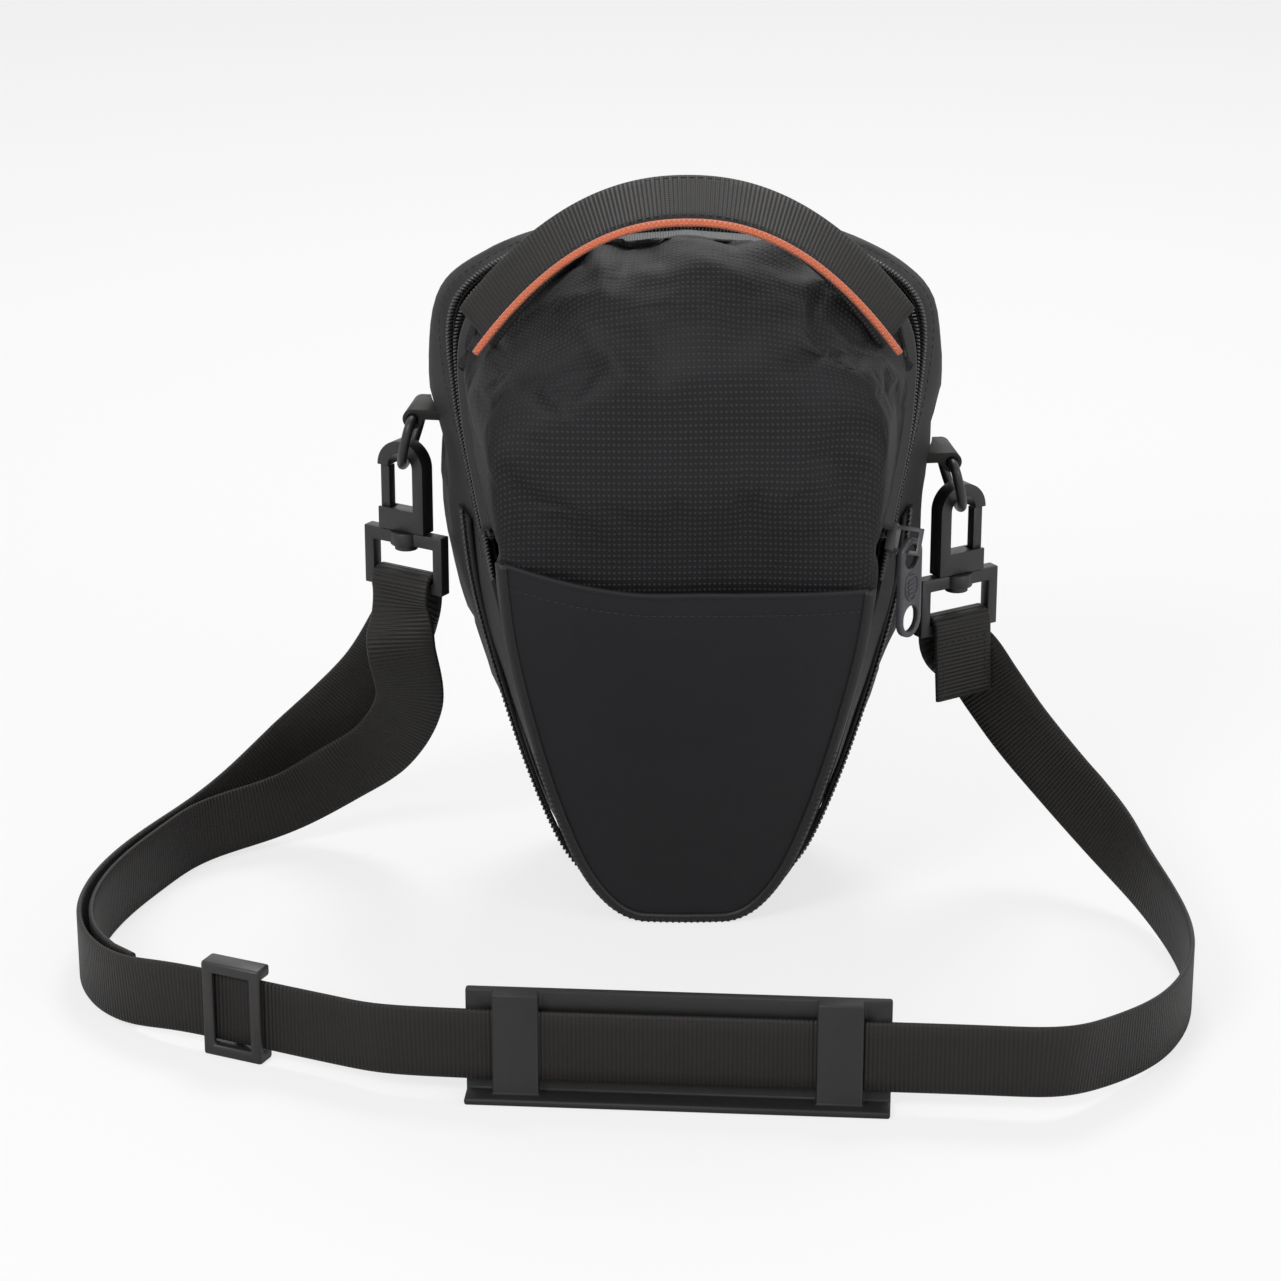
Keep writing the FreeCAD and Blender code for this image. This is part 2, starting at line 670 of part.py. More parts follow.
def make_shoulder_pad():
    """A rubber plate behind the webbing, two bridges in front of it and a lower ledge."""
    tall = "(webbing_width + 2 * slot_clearance)"
    face = "(webbing_thick / 2 + face_clearance)"
    full = f"{tall} + 2 * pad_rail"
    low = f"-{tall} / 2 - pad_rail"
    plate = block("pad_plate", "pad_length", "pad_thick", full,
                  ("-pad_length / 2", face, low))
    ledge = block("pad_lip", "pad_length", f"pad_ledge + {face} + pad_thick", "2.4",
                  ("-pad_length / 2", f"-{face} - pad_ledge + {face}", low))
    bridges = []
    for name, x in (("left", "-pad_length / 2 + pad_bridge * 0.6"),
                    ("right", "pad_length / 2 - pad_bridge * 1.6")):
        sleeve = block(f"pad_sleeve_{name}", "pad_bridge", f"2 * {face} + 1.8 + pad_thick",
                       full, (x, f"-{face} - 1.8", low))
        slot = block(f"pad_slot_{name}", "pad_bridge + 2", f"2 * {face}", tall,
                     (f"{x} - 1", f"-{face}", f"-{tall} / 2"))
        bridges.append(cut(f"pad_bridge_{name}", sleeve, slot))
    pad = fuse("shoulder_pad", [plate, ledge] + bridges)
    keep("shoulder_pad", pad, along_run(PAD_MID, PAD_ALONG))


# ---------------------------------------------------------------------------------------
# Slider and puller of the main zip, on its right side
# ---------------------------------------------------------------------------------------
SLIDER_Z = 148.0
SLIDER_STEP = 20.0           # the zip's direction is taken over this height
PULLER_TURN = 52.0           # the puller's broad face looks this far right of the front


def zip_point(body, z, across=0.0):
    """A point on the bag's right outer face, `across` behind the main zip's plane."""
    lean = math.radians(size("zip_lean"))
    y = -size("zip_plane_depth") + (z - size("zip_plane_height")) * math.tan(lean)
    y += across * math.cos(lean)
    z -= across * math.sin(lean)
    return V(skin_x(body, y, z), y, z)


def slider_place(body):
    """Local X across the zip, local Z up along it, local -Y straight out of the bag."""
    middle = zip_point(body, SLIDER_Z)
    half = size("slider_width") / 2
    across = unit(zip_point(body, SLIDER_Z, half) - zip_point(body, SLIDER_Z, -half))
    along = unit(zip_point(body, SLIDER_Z + SLIDER_STEP) - middle)
    inward = unit(along.cross(across))
    along = unit(across.cross(inward))
    return FreeCAD.Placement(middle - inward * size("slider_lift"),
                             FreeCAD.Rotation(across, inward, along, "ZXY"))


def make_slider(body):
    """Slider body over the two rows, with a bail on its face."""
    slider_block = block("slider_block", "slider_width", "slider_thick", "slider_length",
                         ("-slider_width / 2", "-slider_thick", "-slider_length / 2"))
    arch = block("bail_arch", "bail_bar", "bail_rise", "bail_length",
                 ("-bail_bar / 2", "-slider_thick - bail_rise", "-bail_length / 2"))
    window = block("bail_window", "bail_bar + 2", "bail_rise - bail_bar",
                   "bail_length - 2 * bail_bar",
                   ("-bail_bar / 2 - 1", "-slider_thick - bail_rise + bail_bar",
                    "-bail_length / 2 + bail_bar"))
    bail = cut("bail", arch, window)
    keep("zip_slider", fuse("zip_slider", [slider_block, bail]), slider_place(body))


def puller_place(body):
    """The puller hangs from the bail: local origin on its hinge, the puller below it."""
    room = (math.hypot(size("puller_thick"), size("puller_rim")) / 2
            + size("face_clearance") + size("puller_room"))
    reach = size("slider_thick") + size("bail_rise") - size("bail_bar") - room
    bail = slider_place(body).multVec(V(0, -reach, 0))
    return FreeCAD.Placement(bail, FreeCAD.Rotation(V(0, 0, 1), PULLER_TURN))


def make_puller(body):
    """A flat puller: an oval opening at its top and an open loop at its lower end."""
    half = size("puller_width") / 2
    length = size("puller_length")
    thick = size("puller_thick")
    rim = size("puller_rim")
    eye_half = size("puller_eye") / 2

    def slot(radius, high, low):
        """An upright rounded slot through the puller."""
        ends = [Part.makeCylinder(radius, 3 * thick, V(0, -1.5 * thick, z), V(0, 1, 0))
                for z in (high - radius, low + radius)]
        middle = Part.makeBox(2 * radius, 3 * thick, high - low - 2 * radius,
                              V(-radius, -1.5 * thick, low + radius))
        return ends[0].fuse(ends[1]).fuse(middle)

    top = rim / 2
    plate = slot(half, top, top - length)
    plate = plate.common(Part.makeBox(4 * half, thick, 3 * length,
                                      V(-2 * half, -thick / 2, -2 * length)))
    plate = plate.cut(slot(eye_half, top - rim, top - rim - size("puller_eye_length")))
    loop = slot(half - rim, top - length + size("puller_loop") + rim, top - length + rim)
    obj = doc.addObject("Part::Feature", "zip_puller")
    obj.Shape = plate.cut(loop)
    keep("zip_puller", obj, puller_place(body))


def make_belt_loop():
    """A fabric loop sewn to the back panel at its two ends."""
    reach = "loop_gap + loop_thick"
    middle = "bag_height * 0.56"
    strip = block("loop_strip", "loop_width", "loop_thick", "loop_height",
                  ("-loop_width / 2", "back_depth + loop_gap", f"{middle} - loop_height / 2"))
    ends = []
    for name, z in (("top", f"{middle} + loop_height / 2 - loop_seam"),
                    ("bottom", f"{middle} - loop_height / 2")):
        ends.append(block(f"loop_{name}", "loop_width", reach, "loop_seam",
                          ("-loop_width / 2", "back_depth", z)))
    keep("belt_loop", fuse("belt_loop", [strip] + ends))


# ---------------------------------------------------------------------------------------
# Build, check and write
# ---------------------------------------------------------------------------------------
outer_body = make_bag_body()
make_slip_pocket(outer_body)
make_base()
make_handle(outer_body)
for side_name in SIDES:
    make_tab(outer_body, side_name)
    make_ring(outer_body, side_name)
    make_hook(outer_body, side_name)
feature("shoulder_strap", band(strap_stations(outer_body), WEB, WEB_THICK))
make_tri_glide()
make_shoulder_pad()
make_slider(outer_body)
make_puller(outer_body)
make_belt_loop()
doc.recompute()

for obj in doc.Objects:
    if "Invalid" in obj.State or "Error" in obj.State:
        raise RuntimeError(f"{obj.Label} did not rebuild: {obj.State}")
os.makedirs("parts", exist_ok=True)
for obj in PARTS:
    if obj.Shape.isNull() or not obj.Shape.isValid() or not obj.Shape.Solids:
        raise RuntimeError(f"{obj.Label} has no valid solid")
    obj.Shape.exportStep(f"parts/{obj.Label}.step")
    box = obj.Shape.BoundBox
    print(f"{obj.Label:22s} solids {len(obj.Shape.Solids)} volume {obj.Shape.Volume:9.0f}  "
          f"x {box.XMin:7.1f} {box.XMax:7.1f}  y {box.YMin:7.1f} {box.YMax:7.1f}  "
          f"z {box.ZMin:7.1f} {box.ZMax:7.1f}")
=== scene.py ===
"""Soft camera bag: fabrics, zips, webbing, hooks and pad, made round the fixed frame.

Lengths are worked out in millimetres and written to the meshes in metres.
"""
import math

import bmesh
import bpy
import numpy as np
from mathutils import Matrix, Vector, noise


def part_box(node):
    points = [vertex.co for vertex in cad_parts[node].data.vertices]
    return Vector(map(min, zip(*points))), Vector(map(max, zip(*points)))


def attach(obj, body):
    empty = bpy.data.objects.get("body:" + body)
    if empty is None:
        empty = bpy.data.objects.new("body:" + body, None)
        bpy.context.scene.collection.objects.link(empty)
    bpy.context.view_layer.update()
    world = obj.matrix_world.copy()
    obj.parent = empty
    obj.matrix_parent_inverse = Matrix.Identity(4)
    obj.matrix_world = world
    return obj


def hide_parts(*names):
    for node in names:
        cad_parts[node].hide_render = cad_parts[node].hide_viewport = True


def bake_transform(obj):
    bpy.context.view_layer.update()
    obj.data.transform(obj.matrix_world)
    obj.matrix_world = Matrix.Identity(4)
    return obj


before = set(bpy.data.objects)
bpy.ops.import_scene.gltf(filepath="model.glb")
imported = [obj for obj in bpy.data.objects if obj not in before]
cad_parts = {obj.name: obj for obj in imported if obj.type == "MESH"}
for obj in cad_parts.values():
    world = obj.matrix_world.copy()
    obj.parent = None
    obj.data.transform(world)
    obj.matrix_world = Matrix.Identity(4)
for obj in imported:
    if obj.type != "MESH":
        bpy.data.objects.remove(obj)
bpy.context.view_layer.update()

bl_info = {
    "name": "Camera Bag Parts",
    "version": (1, 0, 0),
    "blender": (4, 5, 0),
    "location": "View3D > Sidebar > Camera Bag",
    "description": "Builds the fabrics, zips, webbing and fittings of a soft camera bag",
    "category": "Add Mesh",
}

MM = 0.001
BOXES = {node: [np.array(corner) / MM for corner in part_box(node)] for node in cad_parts}

# Outline of the bag's widest section: share of the half width, share of the height.
OUTLINE = [(0.0, 0.0), (0.17, 0.0), (0.31, 0.012), (0.43, 0.048), (0.56, 0.115),
           (0.73, 0.27), (0.905, 0.49), (0.965, 0.66), (1.0, 0.79), (0.945, 0.895),
           (0.70, 0.955), (0.40, 0.988), (0.0, 1.0)]
# How it changes with depth: share of the depth, share of the width, share of the height.
STATIONS = [(-1.0, 0.715, 0.915), (-0.85, 0.745, 0.95), (-0.28, 0.85, 0.985),
            (0.27, 0.965, 1.0), (1.0, 0.93, 0.97)]
# The strap fittings that the webbing runs through, on its straight stretches.
GLIDE_MID, GLIDE_ALONG = (-150, -143, 17.0), (0.906, -0.423, 0)
PAD_MID, PAD_ALONG = (-4, -178, 19.0), (0.997, -0.075, 0)


# ---------------------------------------------------------------------------------------
# Sizes and colours
# ---------------------------------------------------------------------------------------
def length(name, text, default):
    return bpy.props.FloatProperty(name=name, description=text, default=default, min=0.0)


def colour(name, text, default):
    return bpy.props.FloatVectorProperty(name=name, description=text, default=default,
                                         subtype="COLOR", size=3, min=0.0, max=1.0)


class BagSizes(bpy.types.PropertyGroup):
    """Sizes of the bag's fabric pieces, in millimetres."""
    width: length("Width", "Widest outline of the bag", 186.0)
    height: length("Height", "Base to the top of the lid", 246.0)
    back: length("Back depth", "Origin to the back face", 55.0)
    front: length("Front depth", "Origin to the upper front face", 60.0)
    base_front: length("Base front depth", "Origin to the front wall at the base", 33.0)
    fold: length("Fold height", "Height of the line the flap turns on", 160.0)
    hem: length("Hem height", "Height of the slip pocket's hem at its middle", 133.0)
    zip_end: length("Zip end", "Height where the main zip ends", 133.0)
    expansion_top: length("Expansion zip top", "Where the second zip ends", 151.0)
    webbing: length("Webbing width", "Width of strap and handle webbing", 25.0)
    webbing_thick: length("Webbing thickness", "Thickness of the webbing", 2.0)
    coil_pitch: length("Coil pitch", "Spacing of the zip's coil turns", 1.25)
    stitch_pitch: length("Stitch pitch", "Spacing of the stitches", 3.0)
    dot_across: length("Dot spacing across", "Spacing of the weave's dots across", 1.72)
    dot_up: length("Dot spacing up", "Spacing of the weave's dots upwards", 2.25)


class BagColours(bpy.types.PropertyGroup):
    """Base colours of the bag's materials."""
    nylon: colour("Plain nylon", "Gusset and back fabric", (0.0072, 0.0068, 0.0074))
    dots: colour("Dotted nylon", "Front and lid fabric", (0.0084, 0.0078, 0.0090))
    coated: colour("Coated fabric", "Slip pocket", (0.0080, 0.0080, 0.0098))
    webbing: colour("Webbing", "Strap, handle and tabs", (0.0100, 0.0088, 0.0080))
    plastic: colour("Plastic", "Hooks and buckle", (0.0150, 0.0135, 0.0135))
    puller: colour("Puller", "Zip slider and puller", (0.0560, 0.0530, 0.0590))
    rubber: colour("Rubber", "Shoulder pad", (0.0085, 0.0085, 0.0092))
    orange: colour("Orange braid", "Cord along the handle", (0.950, 0.200, 0.080))
    lining: colour("Lining", "Inside of the bag", (0.100, 0.100, 0.105))


# ---------------------------------------------------------------------------------------
# Materials
# ---------------------------------------------------------------------------------------
class Finish:
    """A Principled material with short helpers for its pattern nodes."""

    def __init__(self, name, base, rough, coord="UV", **sockets):
        self.material = bpy.data.materials.new(name)
        self.material.use_nodes = True
        self.tree = self.material.node_tree
        self.shader = self.tree.nodes["Principled BSDF"]
        self.base = tuple(base)
        self.shader.inputs["Base Color"].default_value = (*self.base, 1)
        self.shader.inputs["Roughness"].default_value = rough
        for socket, value in sockets.items():
            self.shader.inputs[socket.replace("_", " ")].default_value = value
        self.coord = self.node("ShaderNodeTexCoord").outputs[coord]
        split = self.node("ShaderNodeSeparateXYZ", Vector=self.coord)
        self.u, self.v = split.outputs["X"], split.outputs["Y"]

    def node(self, kind, settings=(), **inputs):
        made = self.tree.nodes.new(kind)
        for name, value in dict(settings).items():
            setattr(made, name, value)
        for name, value in inputs.items():
            self.feed(made.inputs[name.replace("_", " ")], value)
        return made

    def feed(self, socket, value):
        if isinstance(value, bpy.types.NodeSocket):
            self.tree.links.new(value, socket)
        else:
            socket.default_value = value

    def math(self, operation, *values):
        made = self.node("ShaderNodeMath", {"operation": operation})
        for socket, value in zip(made.inputs, values):
            self.feed(socket, value)
        return made.outputs[0]

    def wave(self, value, period):
        """0 to 1 and back once every `period` metres."""
        turns = self.math("MULTIPLY", value, 2 * math.pi / period)
        return self.math("MULTIPLY_ADD", self.math("SINE", turns), 0.5, 0.5)

    def noise(self, scale, detail=3.0):
        made = self.node("ShaderNodeTexNoise", Vector=self.coord, Scale=scale, Detail=detail,
                         Roughness=0.55)
        return made.outputs["Fac"]

    def dots(self, across, up, radius):
        """Raised dots on a grid: 1 at a dot's middle and 0 outside it."""
        cell = []
        for value, period in ((self.u, across), (self.v, up)):
            part = self.math("FRACT", self.math("DIVIDE", value, period))
            cell.append(self.math("MULTIPLY", self.math("SUBTRACT", part, 0.5), period))
        square = [self.math("MULTIPLY", side, side) for side in cell]
        away = self.math("SQRT", self.math("ADD", *square))
        made = self.node("ShaderNodeMapRange", {"interpolation_type": "SMOOTHSTEP"},
                         Value=away, From_Min=radius, From_Max=radius * 0.35)
        return made.outputs["Result"]

    def tint(self, amount, low, high):
        """Base colour from `low` to `high` times the plain one, by `amount` 0 to 1."""
        made = self.node("ShaderNodeMix", {"data_type": "RGBA"}, Factor=amount)
        made.inputs[6].default_value = (*[c * low for c in self.base], 1)
        made.inputs[7].default_value = (*[min(c * high, 1) for c in self.base], 1)
        self.tree.links.new(made.outputs[2], self.shader.inputs["Base Color"])

    def rough(self, amount, low, high):
        made = self.node("ShaderNodeMapRange", Value=amount, To_Min=low, To_Max=high)
        self.tree.links.new(made.outputs["Result"], self.shader.inputs["Roughness"])

    def bump(self, *layers):
        """Bump layers as (height, distance in mm), one on the other."""
        normal = None
        for height, distance in layers:
            made = self.node("ShaderNodeBump", Height=height, Distance=distance * MM,
                             Strength=1.0)
            if normal is not None:
                self.tree.links.new(normal, made.inputs["Normal"])
            normal = made.outputs["Normal"]
        self.tree.links.new(normal, self.shader.inputs["Normal"])
        return self.material


def dotted_nylon(sizes, colours):
    cloth = Finish("dotted_nylon", colours.dots, 0.55, Sheen_Weight=0.03,
                   Sheen_Roughness=0.4, Specular_IOR_Level=0.24)
    dots = cloth.dots(sizes.dot_across * MM, sizes.dot_up * MM, 0.62 * MM)
    thread = cloth.math("MULTIPLY", cloth.wave(cloth.u, 0.43 * MM),
                        cloth.wave(cloth.v, 0.38 * MM))
    # Base colour lighter at the dots: this is partly the weave's dot pattern and partly
    # painted sheen on the raised dots. The noise share is the fabric's own uneven tone.
    cloth.tint(cloth.math("MULTIPLY_ADD", dots, 0.75,
                          cloth.math("MULTIPLY", cloth.noise(35), 0.25)), 0.42, 4.2)
    return cloth.bump((dots, 0.20), (thread, 0.05), (cloth.noise(60), 0.25))


def plain_nylon(name, base, sheen=0.03):
    cloth = Finish(name, base, 0.66, Sheen_Weight=sheen, Sheen_Roughness=0.5,
                   Specular_IOR_Level=0.2)
    thread = cloth.math("MAXIMUM", cloth.wave(cloth.u, 0.62 * MM),
                        cloth.wave(cloth.v, 0.55 * MM))
    cloth.tint(cloth.math("MULTIPLY_ADD", thread, 0.5,
                          cloth.math("MULTIPLY", cloth.noise(28), 0.5)), 0.75, 1.35)
    return cloth.bump((thread, 0.06), (cloth.noise(70), 0.35), (cloth.noise(1400), 0.03))


def coated_fabric(colours):
    cloth = Finish("coated_fabric", colours.coated, 0.52, Specular_IOR_Level=0.26,
                   Sheen_Weight=0.02, Sheen_Roughness=0.6)
    thread = cloth.math("MULTIPLY", cloth.wave(cloth.u, 0.5 * MM),
                        cloth.wave(cloth.v, 0.5 * MM))
    cloth.tint(cloth.noise(14, 5.0), 0.78, 1.3)
    cloth.rough(cloth.noise(45, 4.0), 0.44, 0.62)
    return cloth.bump((thread, 0.015), (cloth.noise(900, 4.0), 0.03), (cloth.noise(40), 0.3))


def binding_tape(colours):
    tape = Finish("binding_tape", [c * 0.85 for c in colours.nylon], 0.48,
                  Specular_IOR_Level=0.4, Sheen_Weight=0.03)
    rib = tape.wave(tape.v, 0.9 * MM)
    tape.tint(tape.noise(60), 0.8, 1.3)
    return tape.bump((rib, 0.05), (tape.noise(300), 0.12))


def ribbed_webbing(colours):
    cloth = Finish("ribbed_webbing", colours.webbing, 0.55, Sheen_Weight=0.04,
                   Sheen_Roughness=0.35, Specular_IOR_Level=0.28)
    weft = cloth.wave(cloth.v, 1.45 * MM)
    warp = cloth.wave(cloth.u, 1.1 * MM)
    rib = cloth.math("MULTIPLY_ADD", warp, 0.14, cloth.math("MULTIPLY", weft, 0.86))
    cloth.tint(cloth.math("MULTIPLY_ADD", weft, 0.6,
                          cloth.math("MULTIPLY", cloth.noise(120), 0.4)), 0.55, 1.75)
    return cloth.bump((rib, 0.28), (cloth.noise(1500), 0.06))


def orange_braid(colours):
    cord = Finish("orange_braid", colours.orange, 0.6, Sheen_Weight=0.3)
    one = cord.math("ADD", cord.math("MULTIPLY", cord.u, 0.9), cord.v)
    two = cord.math("SUBTRACT", cord.math("MULTIPLY", cord.u, 0.9), cord.v)
    strand = cord.math("MULTIPLY", cord.wave(one, 1.7 * MM), cord.wave(two, 1.7 * MM))
    cord.tint(strand, 0.62, 1.3)
    return cord.bump((strand, 0.5), (cord.noise(1800), 0.08))


def moulded(name, base, rough, grain=0.05, **sockets):
    solid = Finish(name, base, rough, "Object", **sockets)
    solid.tint(solid.noise(220, 4.0), 0.82, 1.22)
    solid.rough(solid.noise(90, 5.0), rough - 0.06, rough + 0.1)
    return solid.bump((solid.noise(2600, 2.0), grain), (solid.noise(160), 0.12))


def make_materials(context):
    """Every finish of the bag, by the record's material slots and a few of its own."""
    sizes, colours = context.scene.bag_sizes, context.scene.bag_colours
    return {
        "dot_nylon": dotted_nylon(sizes, colours),
        "plain_nylon": plain_nylon("plain_nylon", colours.nylon),
        "coated_nylon": coated_fabric(colours),
        "binding": binding_tape(colours),
        "zip_coil": moulded("zip_coil", [c * 1.1 for c in colours.plastic], 0.28, 0.01,
                            Specular_IOR_Level=0.6),
        "zip_tape": plain_nylon("zip_tape", [c * 0.8 for c in colours.nylon], 0.02),
        "lining_cloth": moulded("lining_cloth", colours.lining, 0.8, 0.15,
                                Sheen_Weight=0.1),
        "stiff_board": moulded("stiff_board", colours.plastic, 0.5),
        "webbing": ribbed_webbing(colours),
        "orange_braid": orange_braid(colours),
        "moulded_plastic": moulded("moulded_plastic", colours.plastic, 0.42, 0.04,
                                   Specular_IOR_Level=0.5),
        "painted_metal": moulded("painted_metal", colours.puller, 0.4, 0.02,
                                 Metallic=0.35, Specular_IOR_Level=0.5),
        "pad_rubber": moulded("pad_rubber", colours.rubber, 0.56, 0.06,
                              Specular_IOR_Level=0.4),
        "thread": moulded("thread", [c * 1.9 for c in colours.nylon], 0.7, 0.03),
    }


MATERIALS = {}


# ---------------------------------------------------------------------------------------
# Curves and surfaces of the bag, in millimetres
# ---------------------------------------------------------------------------------------
def smooth_path(points, count):
    """A smooth curve through the points, evenly spaced along its length."""
    points = np.asarray(points, float)
    padded = np.vstack([2 * points[0] - points[1], points, 2 * points[-1] - points[-2]])
    dense = []
    for a, b, c, d in zip(padded, padded[1:], padded[2:], padded[3:]):
        t = np.linspace(0, 1, 12, endpoint=False)[:, None]
        dense.append(0.5 * (2 * b + (c - a) * t + (2 * a - 5 * b + 4 * c - d) * t ** 2
                            + (3 * b - a - 3 * c + d) * t ** 3))
    return resample(np.vstack(dense + [points[-1:]]), count)


def run_lengths(points):
    steps = np.linalg.norm(np.diff(points, axis=0), axis=1)
    return np.concatenate([[0], np.cumsum(steps)])


def resample(points, count):
    along = run_lengths(points)
    even = np.linspace(0, along[-1], count)
    return np.stack([np.interp(even, along, column) for column in points.T], axis=1)


def smoothstep(value, low, high):
    t = np.clip((value - low) / (high - low), 0, 1)
    return t * t * (3 - 2 * t)


def unit(vectors):
    vectors = np.asarray(vectors, float)
    return vectors / np.maximum(np.linalg.norm(vectors, axis=-1, keepdims=True), 1e-9)


class Skin:
    """The bag's outer surface, from the same outline and stations as the frame."""
    ZIP_DEPTH, ZIP_HEIGHT, ZIP_LEAN = 45.0, 140.0, math.radians(26.5)
    PIVOT_Z = 148.0

    def __init__(self, sizes):
        self.half = sizes.width / 2
        self.height = sizes.height
        self.back = sizes.back
        self.front = sizes.front
        self.base_front = sizes.base_front
        self.fold = sizes.fold
        curve = smooth_path(OUTLINE, 500)
        self.across = curve[:, 0]
        self.up = np.maximum.accumulate(curve[:, 1])
        self.up += np.linspace(0, 1e-6, len(self.up))
        shares = smooth_path([(self.depth(s), w, h) for s, w, h in STATIONS], 200)
        self.depths, self.widths, self.heights = shares.T

    def depth(self, share):
        return share * (self.back if share > 0 else self.front)

    def front_y(self, z):
        lean = (self.front - self.base_front) / self.fold
        return -np.where(z > self.fold, self.front, self.base_front + z * lean)

    def half_width(self, y, z):
        wide = self.half * np.interp(y, self.depths, self.widths)
        tall = self.height * np.interp(y, self.depths, self.heights)
        inside = np.interp(z / tall, self.up, self.across, left=-1.0, right=-1.0)
        return wide * inside

    def top(self, y):
        return self.height * np.interp(y, self.depths, self.heights)

    def inside(self, points):
        x, y, z = np.moveaxis(points, -1, 0)
        return ((np.abs(x) < self.half_width(y, z)) & (y < self.back)
                & (y > self.front_y(z)) & (z > 0))

    def hit(self, origin, directions):
        """Where rays from an inner point leave the bag."""
        origin = np.asarray(origin, float)
        near = np.zeros(directions.shape[:-1])
        far = np.full(directions.shape[:-1], 320.0)
        for _ in range(26):
            middle = (near + far) / 2
            within = self.inside(origin + directions * middle[..., None])
            near = np.where(within, middle, near)
            far = np.where(within, far, middle)
        return origin + directions * near[..., None]

    def zip_y(self, z, away):
        """Depth of the plane `away` behind the zip plane at a height."""
        lean = self.ZIP_LEAN
        return ((away + (z - self.ZIP_HEIGHT) * math.sin(lean)) / math.cos(lean)
                - self.ZIP_DEPTH)

    def page(self, away, turn):
        """A half plane through the X line on the zip plane: its origin and direction,
        turned forward from the upward zip plane."""
        lean = self.ZIP_LEAN
        origin = np.array([0, float(self.zip_y(self.PIVOT_Z, away)), self.PIVOT_Z])
        upward = np.array([0, math.sin(lean), math.cos(lean)])
        forward = np.array([0, -math.cos(lean), math.sin(lean)])
        return origin, math.cos(turn) * upward + math.sin(turn) * forward

    def page_curve(self, away, turn, count, start=0.0, end=math.pi):
        """The curve that one page cuts from the skin, right side to left side."""
        origin, rise = self.page(away, turn)
        angles = np.linspace(start, end, 4 * count)
        rays = np.cos(angles)[:, None] * np.array([1.0, 0, 0]) + np.sin(angles)[:, None] * rise
        return resample(self.hit(origin, rays), count)


def outward(grid, centre):
    """Normals of a grid that point away from a centre."""
    normals = unit(np.cross(np.gradient(grid, axis=1), np.gradient(grid, axis=0)))
    side = np.sum(normals * (grid - np.asarray(centre, float)))
    return normals if side > 0 else -normals


def relax(grid, rounds):
    """Even out a grid's inner points, its edges held."""
    for _ in range(rounds):
        mean = (grid[:-2, 1:-1] + grid[2:, 1:-1] + grid[1:-1, :-2] + grid[1:-1, 2:]) / 4
        grid[1:-1, 1:-1] += 0.5 * (mean - grid[1:-1, 1:-1])
    return grid


def ripple(points, scale, seed):
    """Smooth noise from -1 to 1 at each point; `scale` is its wavelength in mm."""
    flat = points.reshape(-1, 3) / scale + seed
    values = [noise.noise(Vector(point)) for point in flat]
    return np.array(values).reshape(points.shape[:-1])


# ---------------------------------------------------------------------------------------
# Meshes
# ---------------------------------------------------------------------------------------
WELD, SEAM_WELD = 1e-6, 1e-7        # metres: points nearer than this are one
FLAT_ANGLE = math.radians(1)        # faces that meet flatter than this are one
BEVEL_ANGLE = math.radians(35)      # edges sharper than this are rounded
SHARP_ANGLE = math.radians(40)      # edges sharper than this shade as creases
SIM_FRAMES = 20


def make_object(name, vertices, faces, uvs, material):
    """A mesh object at the origin from points in mm; uvs has one (u, v) in mm a vertex."""
    mesh = bpy.data.meshes.new(name)
    mesh.from_pydata([tuple(v * MM) for v in np.asarray(vertices, float)], [],
                     [tuple(int(i) for i in face) for face in faces])
    layer = mesh.uv_layers.new(name="cut")
    corner = np.empty(len(mesh.loops), dtype=np.int32)
    mesh.loops.foreach_get("vertex_index", corner)
    layer.data.foreach_set("uv", (np.asarray(uvs, float)[corner] * MM).ravel())
    mesh.polygons.foreach_set("use_smooth", [True] * len(mesh.polygons))
    mesh.materials.append(MATERIALS[material])
    obj = bpy.data.objects.new(name, mesh)
    bpy.context.scene.collection.objects.link(obj)
    return obj


def grid_uv(grid):
    """Cloth coordinates of a grid: length across each row from its middle, and length
    up its middle column."""
    steps = np.linalg.norm(np.diff(grid, axis=1), axis=2)
    across = np.concatenate([np.zeros((len(grid), 1)), np.cumsum(steps, axis=1)], axis=1)
    across -= across[:, [grid.shape[1] // 2]]
    up = run_lengths(grid[:, grid.shape[1] // 2])
    return np.stack([across, np.repeat(up[:, None], grid.shape[1], axis=1)], axis=2)


def cloth(name, grid, thick, material, centre, normals=None, loop_round=False):
    """A closed sheet of fabric: the grid is its outer face, `thick` its thickness. With
    `loop_round` its first and last columns are one seam."""
    rows, columns = grid.shape[:2]
    if normals is None:
        normals = outward(grid, centre)
    if loop_round:
        grid[:, -1] = grid[:, 0]
        normals[:, 0] = unit(normals[:, 0] + normals[:, -1])
        normals[:, -1] = normals[:, 0]
    inner = grid - normals * thick
    points = np.concatenate([grid.reshape(-1, 3), inner.reshape(-1, 3)])
    uvs = np.concatenate([grid_uv(grid).reshape(-1, 2)] * 2)
    index = np.arange(rows * columns).reshape(rows, columns)
    shift = rows * columns
    a, b = index[:-1, :-1].ravel(), index[:-1, 1:].ravel()
    c, d = index[1:, 1:].ravel(), index[1:, :-1].ravel()
    outer = np.stack([a, b, c, d], axis=1)
    loop = np.concatenate([index[0], index[1:, -1], index[-1, -2::-1], index[-2:0:-1, 0]])
    after = np.roll(loop, -1)
    rim = np.stack([loop, loop + shift, after + shift, after], axis=1)
    if loop_round:
        seam = set(index[:, 0]) | set(index[:, -1])
        rim = np.array([side for side in rim if not (side[0] in seam and side[3] in seam)])
    faces = np.concatenate([outer, outer[:, ::-1] + shift, rim])
    facing = np.cross(grid[0, 1] - grid[0, 0], grid[1, 0] - grid[0, 0])
    if np.dot(facing, normals[0, 0]) < 0:
        faces = faces[:, ::-1]
    return outward_faces(make_object(name, points, faces, uvs, material))


